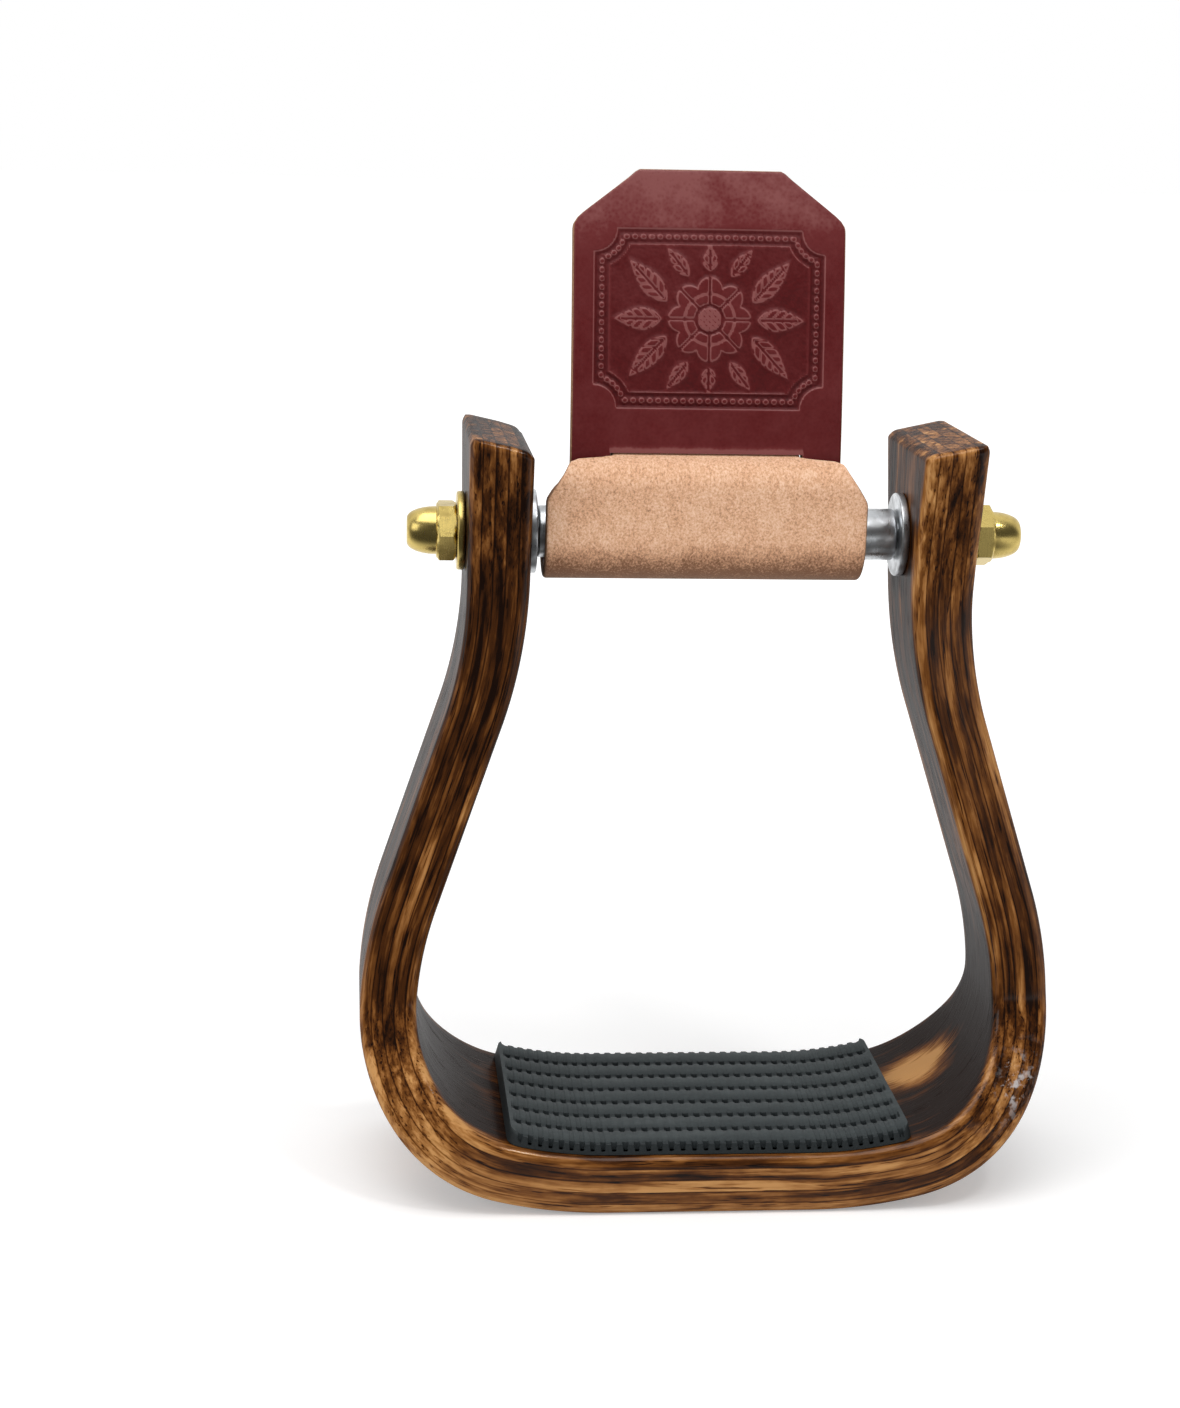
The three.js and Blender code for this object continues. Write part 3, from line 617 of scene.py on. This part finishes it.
# Lines of the slab's mesh: closer at the walls of each groove and pit.
bar_pitch, pit_pitch = PAD_WIDTH / BARS, (PAD_LENGTH - 2 * PAD_RIM) / PITS
bar_lines = np.array([0, *(GROOVE_WIDTH / 2 + gap for gap in (-WALL, 0, 0.7, 1.4))])
bar_lines = np.concatenate([bar_lines, [bar_pitch / 2], bar_pitch - bar_lines[:0:-1]])
pit_edge = (pit_pitch - PIT_LENGTH) / 2
pit_lines = np.array([0, pit_edge, pit_edge + WALL, pit_pitch / 2])
pit_lines = np.concatenate([pit_lines, pit_pitch - pit_lines[2:0:-1]])
rim_lines = np.array([0, 0.15, 0.5, PAD_RIM - WALL])
across = np.concatenate([bar_pitch * number + bar_lines for number in range(BARS)] + [[PAD_WIDTH]]) - PAD_WIDTH / 2
along = np.concatenate([
    rim_lines, *(PAD_RIM + pit_pitch * number + pit_lines for number in range(PITS)),
    [PAD_LENGTH - PAD_RIM], PAD_LENGTH - rim_lines[::-1],
])
lattice = np.stack(np.meshgrid(along, across, np.array([0, 1.2, PAD_THICKNESS]), indexing="ij"), -1)
past_x = np.clip(PAD_CORNER - np.minimum(lattice[..., 0], PAD_LENGTH - lattice[..., 0]), 0, None)
past_y = np.clip(PAD_CORNER - (PAD_WIDTH / 2 - np.abs(lattice[..., 1])), 0, None)
square = np.maximum(past_x, past_y) / np.maximum(np.hypot(past_x, past_y), 1e-9)
lattice[..., 0] += np.sign(PAD_LENGTH / 2 - lattice[..., 0]) * past_x * (1 - square) * (past_y > 0)
lattice[..., 1] -= np.sign(lattice[..., 1]) * past_y * (1 - square) * (past_x > 0)
pad = placed("tread_pad_rubber", blank_mesh("tread_pad", lattice))
shaped(pad, press_ribs, {
    "Length": PAD_LENGTH * MM, "Rim": PAD_RIM * MM, "Top": PAD_THICKNESS * MM,
    "Bar pitch": bar_pitch * MM, "Groove width": GROOVE_WIDTH * MM, "Groove depth": GROOVE_DEPTH * MM,
    "Pit pitch": pit_pitch * MM, "Pit length": PIT_LENGTH * MM, "Pit depth": PIT_DEPTH * MM,
})
settled(pad)
pad_foot = (TREAD_THICKNESS / 2 + GLUE_GAP) * MM
pad.data.transform(Matrix.Translation(((HALF_BOW + SPARE - PAD_LENGTH / 2) * MM, 0, pad_foot)))

rubber, tree = fresh_material("tread_rubber")
grain = read_mark(tree, "grain", "Vector")
height = parts(tree, grain)["Z"]
on_bars = fade(tree, height, (TREAD_THICKNESS / 2 + 2.2) * MM, (TREAD_THICKNESS / 2 + 3.2) * MM)
dust = weighted(tree, (noise(tree, grain, (90, 260, 260), 4, 0.65), 1.5), (1, -0.2))
dust = calc(tree, "MULTIPLY", on_bars, dust)
speckle = noise(tree, grain, 2600)
colour = ramp(
    tree, weighted(tree, (dust, 0.75), (speckle, 0.25)),
    (0.0, (0.013, 0.017, 0.019)), (0.5, (0.040, 0.049, 0.051)), (1.0, (0.088, 0.100, 0.102)),
)
pebbles = weighted(tree, (speckle, 0.5), (noise(tree, grain, 900), 0.5))
finish_as(tree, {
    "Base Color": colour, "Roughness": weighted(tree, (dust, 0.15), (1, 0.62)),
    "Normal": relief(tree, pebbles, 0.5, 0.0001), "Specular IOR Level": 0.25,
})
bend_piece(pad, bow_line, BOW_LINE_LENGTH, (0, 1, 0), rubber)
settled(pad)
pad.data.set_sharp_from_angle(angle=math.radians(35))
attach(pad, "bow")
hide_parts("tread_pad")


# Bar hardware: a steel bolt through both arms, a roller that turns on it, zinc washers inside
# the arms, and brass washers and acorn nuts outside them. All are turned, the nuts from hexagon bar.
def soft_corners(profile, radius, closed):
    """Rounds the corners of a profile of (radius, along) pairs."""
    points, count = [], len(profile)
    for number, corner in enumerate(profile):
        corner = Vector(corner)
        if not closed and number in (0, count - 1):
            points.append(corner)
            continue
        before, after = Vector(profile[number - 1]) - corner, Vector(profile[(number + 1) % count]) - corner
        start = corner + before.normalized() * min(radius, before.length * 0.4)
        end = corner + after.normalized() * min(radius, after.length * 0.4)
        for part in np.linspace(0, 1, 5):
            points.append(start * (1 - part) ** 2 + corner * 2 * part * (1 - part) + end * part**2)
    return points


def turned(name, profile, closed, flats):
    """Turns a profile in mm about the bar's line. Flats gives the radius that a hexagon leaves."""
    sides, count = 96, len(profile)
    angles = np.arange(sides) / sides * 2 * np.pi
    rings = []
    for radius, along in profile:
        reach = np.full(sides, radius)
        if flats is not None:
            reach = np.minimum(reach, flats / np.cos((angles + np.pi / 6) % (np.pi / 3) - np.pi / 6))
        rings.append(np.column_stack([np.full(sides, along), reach * np.cos(angles), reach * np.sin(angles)]))
    faces = []
    for ring in range(count if closed else count - 1):
        here, there = ring * sides, (ring + 1) % count * sides
        for turn in range(sides):
            after = (turn + 1) % sides
            faces.append((here + turn, here + after, there + after, there + turn))
    mesh = bpy.data.meshes.new(name)
    mesh.from_pydata(np.concatenate(rings) * MM, [], faces)
    clean = bmesh.new()
    clean.from_mesh(mesh)
    bmesh.ops.remove_doubles(clean, verts=clean.verts, dist=1e-7)
    bmesh.ops.dissolve_degenerate(clean, edges=clean.edges, dist=1e-7)
    bmesh.ops.recalc_face_normals(clean, faces=clean.faces)
    clean.to_mesh(mesh)
    clean.free()
    mesh.polygons.foreach_set("use_smooth", np.ones(len(mesh.polygons), bool))
    mesh.set_sharp_from_angle(angle=math.radians(32))
    return mesh


wear, given, result = new_tree("Shader", "metal_wear", {
    "Place": "Vector", "Polish": "Float", "Grime": "Float",
}, {"Stain": "Float", "Roughness": "Float", "Height": "Float"})
turning_lines = noise(wear, given["Place"], (5200, 260, 260), 2, 0.6)
stain = fade(wear, noise(wear, given["Place"], 260, 4, 0.6), 0.42, 0.72)
stain = calc(wear, "MULTIPLY", stain, given["Grime"])
wear.links.new(stain, result["Stain"])
wear.links.new(weighted(wear, (turning_lines, 0.12), (stain, 0.3), (given["Polish"], 1)), result["Roughness"])
wear.links.new(turning_lines, result["Height"])


def metal_material(name, bright, dull, polish, grime):
    material, tree = fresh_material(name)
    worn = put(tree, "ShaderNodeGroup", {
        "Place": put(tree, "ShaderNodeTexCoord").outputs["Object"], "Polish": polish, "Grime": grime,
    }, node_tree=wear).outputs
    finish_as(tree, {
        "Base Color": ramp(tree, worn["Stain"], (0, bright), (1, dull)), "Roughness": worn["Roughness"],
        "Metallic": 1, "Normal": relief(tree, worn["Height"], 0.12, 0.00005),
    })
    return material


brass = metal_material("solid_brass", (0.64, 0.49, 0.16), (0.28, 0.19, 0.05), 0.18, 0.45)
zinc = metal_material("zinc_plated_steel", (0.58, 0.60, 0.62), (0.25, 0.25, 0.25), 0.22, 0.6)
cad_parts["bolt"].data.materials.clear()
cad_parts["bolt"].data.materials.append(zinc)

ARM_INNER, ARM_OUTER = NECK_INNER / 2, NECK_INNER / 2 + TREAD_THICKNESS
ROLLER_RADIUS, ZINC_WASHER, WASHER, NUT_FLATS, PLAY, ROLLER_PLAY = 5.25, 8.5, 1.6, 5.55, 0.1, 0.4
ROLLER_HALF = ARM_INNER - PLAY - WASHER - ROLLER_PLAY


def tube(outer, low, high, softness):
    """Profile of a ring with the bolt's bore, from low to high along the bar."""
    corners = [(BOLT_BORE, low), (outer, low), (outer, high), (BOLT_BORE, high)]
    return soft_corners(corners, softness, True)


# From the bottom of its bore, past the chamfered hexagon and a small neck, to the top of the dome.
acorn = soft_corners([
    (0, 7.2), (BOLT_BORE, 7.2), (BOLT_BORE, 0), (5.5, 0), (6.42, 0.55), (6.42, 3.4), (5.35, 4.0), (4.87, 4.05),
    *((2.45 + 2.4 * math.cos(turn), 4.1 + 5.8 * math.sin(turn)) for turn in np.linspace(0, math.pi / 2, 14)),
    (0, 9.9),
], 0.22, False)


def on_bar(name, body, profile, seat, turn, finish, flats=None):
    """Turns a piece, seats it on the bar and fixes it to its body. Left ones face the other way."""
    mesh = turned(name, profile, flats is None, flats)
    facing = Matrix.Rotation(math.pi if seat < 0 else 0, 4, "Z") @ Matrix.Rotation(math.radians(turn), 4, "X")
    mesh.transform(Matrix.Translation((seat * MM, 0, BOLT_HEIGHT * MM)) @ facing)
    mesh.materials.append(finish)
    piece = placed(name + "_turned", mesh)
    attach(piece, body)
    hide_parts(name)


on_bar("roller", "roller", tube(ROLLER_RADIUS, -ROLLER_HALF, ROLLER_HALF, 0.45), 0, 0, zinc)
for side, sign, turn in [("left", -1, 28), ("right", 1, 6)]:
    inner_seat, outer_seat = ARM_INNER - PLAY - WASHER, ARM_OUTER + PLAY
    on_bar(f"inner_washer_{side}", "bow", tube(ZINC_WASHER, 0, WASHER, 0.35), sign * inner_seat, turn, zinc)
    on_bar(f"outer_washer_{side}", "bow", tube(BRASS_WASHER, 0, WASHER, 0.5), sign * outer_seat, turn, brass)
    on_bar(f"acorn_nut_{side}", "bow", acorn, sign * (outer_seat + WASHER + PLAY), turn, brass, NUT_FLATS)


# Keeper: one strip of thick leather, burgundy on its grain side and raw suede on its flesh side.
# It is folded round the roller, its neck passes through its own slot, and both ends stand up as tabs.
LEATHER, KEEPER_SHIFT, LOOP, LEATHER_ROUND = 3.2, -2.9, 7.45, 0.7
TAB_LENGTH, BACK_TAB, TAB_CHAMFER, RISER, SHOULDER = 57.2, 49.5, 10.2, 10.3, 2.3
TAB_WIDTH, BACK_WIDTH, TAB_TOP, ROLL_WIDTH, NECK_STRIP = 54.8, 52.5, 28.4, 64.8, 38.2
FRONT_BEND, BACK_BEND, TAPER, SLOT_HALF, SLOT_REACH = 9, 7.5, 5.5, 2.0, 19.5
LOOP_PLAY, LEG_LEAN = 0.27, 42
# The loop rests on the roller with its leaning legs, so its middle hangs below the bar's.
HANG = LOOP_PLAY / math.sin(math.radians(LEG_LEAN))
front_curl, back_curl = FRONT_BEND * TAB_CHAMFER / TAB_LENGTH, BACK_BEND * TAB_CHAMFER / BACK_TAB
front_bends = [
    (TAB_CHAMFER, front_curl), (TAB_LENGTH - TAB_CHAMFER, FRONT_BEND - front_curl),
    arc(5, 46), (9.5, 0), arc(LOOP, -132),
]
over_bends = [arc(LOOP, -90), (RISER, 0), arc(4.5, -70)]
back_bends = [
    (6.4, 0), arc(4.5, 66), (1, 0),
    (BACK_TAB - TAB_CHAMFER, back_curl - BACK_BEND), (TAB_CHAMFER, -back_curl),
]
strap_line, strap_along = follow((0, 0), 257, [*front_bends, *over_bends, *back_bends], 0.4)
STRAP = strap_along[-1]
bottom = sum(length for length, _ in front_bends)
neck_start = bottom + sum(length for length, _ in over_bends)


def strap_spot(along):
    """Where the strap's middle line runs, at lengths along it."""
    return np.stack([np.interp(along, strap_along, strap_line[:, axis]) for axis in (0, 1)], -1)


strap_line += (0, -LOOP) - strap_spot(bottom)
strap_curve = path_curve("strap_line", np.column_stack([
    np.full(len(strap_line), KEEPER_SHIFT), strap_line[:, 0], strap_line[:, 1] + BOLT_HEIGHT - HANG,
]) * MM)

leg = TAB_LENGTH + sum(length for length, _ in front_bends[2:4])
width_stops = [
    (0, TAB_TOP), (TAB_CHAMFER, TAB_WIDTH), (leg, TAB_WIDTH), (leg + TAPER, ROLL_WIDTH),
    (neck_start - TAPER - SHOULDER, ROLL_WIDTH), (neck_start - TAPER, 0.72 * ROLL_WIDTH + 0.28 * TAB_WIDTH),
    (neck_start - TAPER / 2, 0.28 * ROLL_WIDTH + 0.72 * TAB_WIDTH), (neck_start, TAB_WIDTH),
    (neck_start + 1, NECK_STRIP), (neck_start + 11.6, NECK_STRIP), (neck_start + 12.6, BACK_WIDTH),
    (STRAP - TAB_CHAMFER, BACK_WIDTH), (STRAP, TAB_TOP),
]
fine = np.arange(0, STRAP, 0.1)
fine_width = np.interp(fine, *zip(*width_stops))
rounder = []
for reach in (10, 26):
    kernel = np.hanning(2 * reach + 1)
    rounder.append(np.convolve(np.pad(fine_width, reach, mode="edge"), kernel / kernel.sum(), "valid"))
near_ends = (fine < TAB_LENGTH - 4) | (fine > neck_start + 18)
fine_width = np.where(near_ends, rounder[1], rounder[0])

# The slot's edges, cut along the line on which the neck goes through.
rising = math.radians(20)
slot_span = np.arange(TAB_LENGTH - 8, leg, 0.05)
to_edge = steps_to_edge(LEATHER_ROUND, 3)
thickness_lines = np.concatenate([-(LEATHER / 2 - to_edge), (LEATHER / 2 - to_edge)[::-1]])


def slot_edge(depth, gap):
    """How far along the strip a face of the slot lies, at a depth in the leather."""
    spots = strap_spot(slot_span)
    heading = np.gradient(spots, axis=0)
    heading /= np.linalg.norm(heading, axis=1, keepdims=True)
    face = spots + np.column_stack([heading[:, 1], -heading[:, 0]]) * depth - strap_spot(neck_start)
    above = face @ (-math.sin(rising), math.cos(rising))
    return np.interp(-gap, -above, slot_span)


slot_top = np.array([slot_edge(depth, SLOT_HALF) for depth in thickness_lines])
slot_foot = np.array([slot_edge(depth, -SLOT_HALF) for depth in thickness_lines])
PANEL_MIDDLE, PANEL_HALF, PANEL_REACH, TOOL_STEP, TOOL_FORCE = 29.5, 18.6, 23.4, 0.36, 1.3


def tooling(x, y):
    """Depth in mm of the tooled panel: beaded border with notched corners, rosette and leaves."""
    half_x, half_y, notch, inset = 23, 17.5, 4.6, 1.4

    def groove(distance, width, depth):
        return depth * np.exp(-((distance / width) ** 2))

    box = np.maximum(np.abs(x) - half_x, np.abs(y) - half_y)
    edge = np.maximum(box, notch - np.hypot(np.abs(x) - half_x, np.abs(y) - half_y))
    depth = groove(edge + 0.3, 0.34, 0.42) + groove(edge + 2.5, 0.34, 0.42)
    band = np.clip((edge + 2.5) / 0.4, 0, 1) * np.clip((-0.3 - edge) / 0.4, 0, 1)
    depth += 0.3 * band
    run_x, run_y, bend = half_x - notch, half_y - notch, notch + inset
    start = math.asin(inset / bend)
    beads = []
    for step in np.linspace(-run_x, run_x, 23):
        beads += [(step, half_y - inset), (step, inset - half_y)]
    for step in np.linspace(-run_y, run_y, 16):
        beads += [(half_x - inset, step), (inset - half_x, step)]
    for side_x, side_y in [(-1, -1), (-1, 1), (1, -1), (1, 1)]:
        for angle in np.linspace(start, math.pi / 2 - start, 6)[1:-1]:
            beads.append((side_x * (half_x - bend * math.cos(angle)), side_y * (half_y - bend * math.sin(angle))))
    away = np.min(np.stack([np.hypot(x - bead_x, y - bead_y) for bead_x, bead_y in beads]), 0)
    depth -= 0.34 * np.clip(1 - (away / 0.72) ** 2, 0, 1) ** 0.5 * band
    radius, angle = np.hypot(x, y), np.arctan2(y, x)
    petal = radius - (6.6 + 1.9 * np.abs(np.cos(4 * angle)) ** 0.7)

    def leaf(base, tip, fat):
        """How far each place is outside a leaf, and the depth of its veins."""
        base, tip = np.array(base), np.array(tip)
        length = np.linalg.norm(tip - base)
        run = (tip - base) / length
        along = (x - base[0]) * run[0] + (y - base[1]) * run[1]
        off = -(x - base[0]) * run[1] + (y - base[1]) * run[0]
        part = np.clip(along / length, 0, 1)
        body = np.abs(off) - fat * np.sin(np.pi * part**0.75)
        vein = groove(off, 0.28, 0.26) * (part > 0.08) * (part < 0.85)
        ribs = groove(((along - np.abs(off) * 0.9) % 1.9) - 0.95, 0.26, 0.14) * (np.abs(off) > 0.35)
        return np.maximum(body, np.maximum(-along, along - length)), vein + ribs

    motif, marks = petal, np.zeros_like(x)
    for base, tip, fat in [
        ((9.6, 0), (19.4, 0), 2.3), ((8.6, 3.4), (16.2, 11.6), 2.2), ((8.6, -3.4), (16.2, -11.6), 2.2),
        ((4.2, 8.4), (8.6, 14), 1.5), ((4.2, -8.4), (8.6, -14), 1.5),
        ((0, 9.4), (0, 14.6), 1.6), ((0, -9.4), (0, -14.6), 1.6),
    ]:
        for flip in ((1, -1) if base[0] else (1,)):
            shape, veins = leaf((base[0] * flip, base[1]), (tip[0] * flip, tip[1]), fat)
            motif = np.minimum(motif, shape)
            marks += veins * (shape < -0.1)
    panel = np.clip((-2.9 - edge) / 0.5, 0, 1)
    ground = np.clip(motif / 0.45, 0, 1) * panel
    stipple = 0.5 + 0.5 * np.sin(x * 6.1 + 1.7 * np.sin(y * 4.3)) * np.sin(y * 6.3 + 1.9 * np.sin(x * 3.9))
    depth += ground * (0.24 + 0.12 * stipple) + groove(motif, 0.3, 0.14) * panel
    marks += groove(np.abs(np.sin(4 * angle)) * radius / 4, 0.26, 0.26) * (radius > 2.9) * (petal < 0)
    marks += groove(radius - 2.7, 0.3, 0.36) + groove(radius - 5.0, 0.25, 0.1) * (petal < 0)
    seeds = 0.12 * (0.5 + 0.5 * np.cos(x * 5.4) * np.cos(y * 5.4)) * (radius < 2.3)
    return depth + (marks + seeds) * panel


# The strip's mesh lines: close over the tooled panel, and along the edges of the slot.
panel_lines = np.arange(PANEL_MIDDLE - PANEL_HALF, PANEL_MIDDLE + PANEL_HALF + 0.01, TOOL_STEP)
slot_lines = [slot_top.mean(), slot_foot.mean()]
along = np.unique(np.round(np.concatenate([
    to_edge, np.arange(to_edge[-1] + 1, panel_lines[0], 1.0),
    panel_lines, np.arange(panel_lines[-1] + 1, slot_lines[0] - 0.5, 1.0),
    slot_lines, np.linspace(*slot_lines, 5)[1:-1], np.arange(slot_lines[1] + 1, neck_start + 14, 0.75),
    np.arange(neck_start + 15, STRAP - to_edge[-1] - 0.5, 1.2), STRAP - to_edge,
]), 5))
half = np.interp(along, fine, fine_width)[:, None] / 2
inner = TAB_WIDTH / 2 - LEATHER_ROUND
beside_panel = np.linspace(PANEL_REACH + 0.2, inner, 5)[1:]
side_lines = np.unique(np.round(np.concatenate([
    np.arange(-PANEL_REACH, PANEL_REACH + 0.01, TOOL_STEP), [-SLOT_REACH, SLOT_REACH], beside_panel, -beside_panel,
]), 5))
to_slot = np.abs(np.abs(side_lines) - SLOT_REACH)
side_lines = side_lines[(to_slot < 1e-4) | (to_slot > 0.12)] / inner
rounding = half - to_edge[None, :-1]
across = np.concatenate([-rounding, side_lines[None, :] * (half - LEATHER_ROUND), rounding[:, ::-1]], 1)
blocks = np.broadcast_arrays(along[:, None, None], across[:, :, None], thickness_lines[None, None, :])
along_block, across_block, depth_block = blocks
in_slot = (along[:-1] >= slot_lines[0] - 1e-4) & (along[1:] <= slot_lines[1] + 1e-4)
middle_across = (across[:, :-1] + across[:, 1:])[:-1] / 2
kept = ~(in_slot[:, None] & (np.abs(middle_across) < SLOT_REACH))
gaps = [
    np.minimum(along_block, STRAP - along_block), half[:, :, None] - np.abs(across_block),
    LEATHER / 2 - np.abs(depth_block),
]
lattice, _ = round_edges(np.stack(blocks, -1), gaps, LEATHER_ROUND, (STRAP / 2, 0, 0))
slot_rows = [int(np.argmin(np.abs(along - line))) for line in slot_lines]
for row, edge in zip(slot_rows, (slot_top, slot_foot)):
    lattice[row, np.abs(across[row]) < SLOT_REACH + 0.1, :, 0] = edge[None, :]
pressed_in = TOOL_FORCE * tooling(across, np.broadcast_to((PANEL_MIDDLE - along)[:, None], across.shape))
pressed_in *= (np.abs(along - PANEL_MIDDLE) < PANEL_HALF + 0.1)[:, None]
lattice[:, :, -1, 2] -= pressed_in
tool_mark = np.zeros(across_block.shape)
tool_mark[:, :, -1] = pressed_in
# The slot's upper edge shows as a light line.
tool_mark[slot_rows[0], np.abs(across[slot_rows[0]]) < SLOT_REACH + 0.1, -1] = 0.09
# Each tab is a little dished and waved, as soft leather is.
tab_share = np.clip((TAB_LENGTH - 6 - along_block) / 20, 0, 1) + np.clip((along_block - neck_start - 22) / 20, 0, 1)
spread = across_block / (TAB_WIDTH / 2)
lattice[..., 2] += tab_share * (0.35 * (1 - spread**2) + 0.25 * np.sin(spread * 2.1 + along_block / 17))
keeper = placed("leather_keeper_strap", blank_mesh("leather_keeper", lattice, kept, tooled=tool_mark))


grain_side, tree = fresh_material("burgundy_leather")
grain = read_mark(tree, "grain", "Vector")
lumps = put(tree, "ShaderNodeTexVoronoi", {"Vector": grain, "Scale": 1500}, feature="SMOOTH_F1").outputs["Distance"]
folds = noise(tree, grain, 240, 4, 0.6)
skin = weighted(tree, (lumps, 0.45), (folds, 0.9))
patch = noise(tree, grain, 55, 3, 0.6)
tooled = read_mark(tree, "tooled")
# Painted sheen: the colour is lighter towards the front tab's top, standing for light from above caught where the
# tab leans back.
painted_top_sheen = fade(tree, parts(tree, grain)["X"], 0.024, 0.002)
sunk = fade(tree, tooled, 0.12, 0.5)
# Lighter where the leather is pressed in only a little, at the rims of the tool marks: painted highlights on the
# tooling's raised edges. The slot's upper edge line, a cut edge, is lightened by this too.
painted_highlights_and_slot_line = calc(tree, "SUBTRACT", fade(tree, tooled, 0.01, 0.08), fade(tree, tooled, 0.1, 0.25))
tone = weighted(tree, (patch, 0.4), (skin, 0.35), (sunk, -0.2), (painted_highlights_and_slot_line, 0.5), (painted_top_sheen, 0.3), (1, 0.2))
colour = ramp(
    tree, tone,
    (0.0, (0.018, 0.001, 0.001)), (0.45, (0.088, 0.002, 0.003)),
    (0.8, (0.138, 0.018, 0.019)), (1.0, (0.22, 0.065, 0.062)),
)
finish_as(tree, {
    "Base Color": colour, "Roughness": weighted(tree, (folds, 0.25), (sunk, 0.1), (1, 0.3)),
    "Normal": relief(tree, skin, 0.45, 0.00016), "Specular IOR Level": 0.25,
    "Sheen Weight": 0.03, "Sheen Roughness": 0.4, "Sheen Tint": (0.9, 0.6, 0.6, 1),
})

suede, tree = fresh_material("suede_flesh_side")
grain = read_mark(tree, "grain", "Vector")
nap = noise(tree, grain, 2300, 3, 0.75)
mottle = noise(tree, grain, 300, 4, 0.65)
stretch = parts(tree, grain)["X"]
# Painted shade: the suede is darkest round the loop's bottom, a little darker along the front leg and tab, and
# keeps its full tone over the roll's top.
below = fade(tree, stretch, bottom * MM + 0.0125, bottom * MM + 0.004)
behind = fade(tree, stretch, bottom * MM - 0.004, bottom * MM - 0.015)
painted_roll_shade = calc(tree, "SUBTRACT", below, calc(tree, "MULTIPLY", behind, 0.65))
tone = weighted(tree, (nap, 1.5), (mottle, 0.6), (painted_roll_shade, -0.55), (1, -0.48))
colour = ramp(tree, tone, (0.1, (0.25, 0.115, 0.06)), (0.5, (0.70, 0.385, 0.225)), (0.85, (0.87, 0.60, 0.42)))
finish_as(tree, {
    "Base Color": colour, "Roughness": 0.92, "Specular IOR Level": 0.2,
    "Normal": relief(tree, weighted(tree, (nap, 0.7), (mottle, 0.5)), 0.8, 0.00025),
    "Sheen Weight": 0.3, "Sheen Roughness": 0.5, "Sheen Tint": (1, 0.85, 0.7, 1),
})

cut_edge, tree = fresh_material("leather_cut_edge")
fibres = noise(tree, read_mark(tree, "grain", "Vector"), (700, 700, 4200), 3, 0.65)
finish_as(tree, {
    "Base Color": ramp(tree, fibres, (0.25, (0.16, 0.075, 0.04)), (0.7, (0.42, 0.23, 0.125))),
    "Roughness": 0.8, "Specular IOR Level": 0.3, "Normal": relief(tree, fibres, 0.6, 0.00018),
})

bend_piece(keeper, strap_curve, STRAP, (1, 0, 0), grain_side, suede, cut_edge)
settled(keeper)
keeper.data.set_sharp_from_angle(angle=math.radians(60))
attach(keeper, "keeper")
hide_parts("leather_keeper")

for line in (bow_line, strap_curve):
    bpy.data.objects.remove(line)
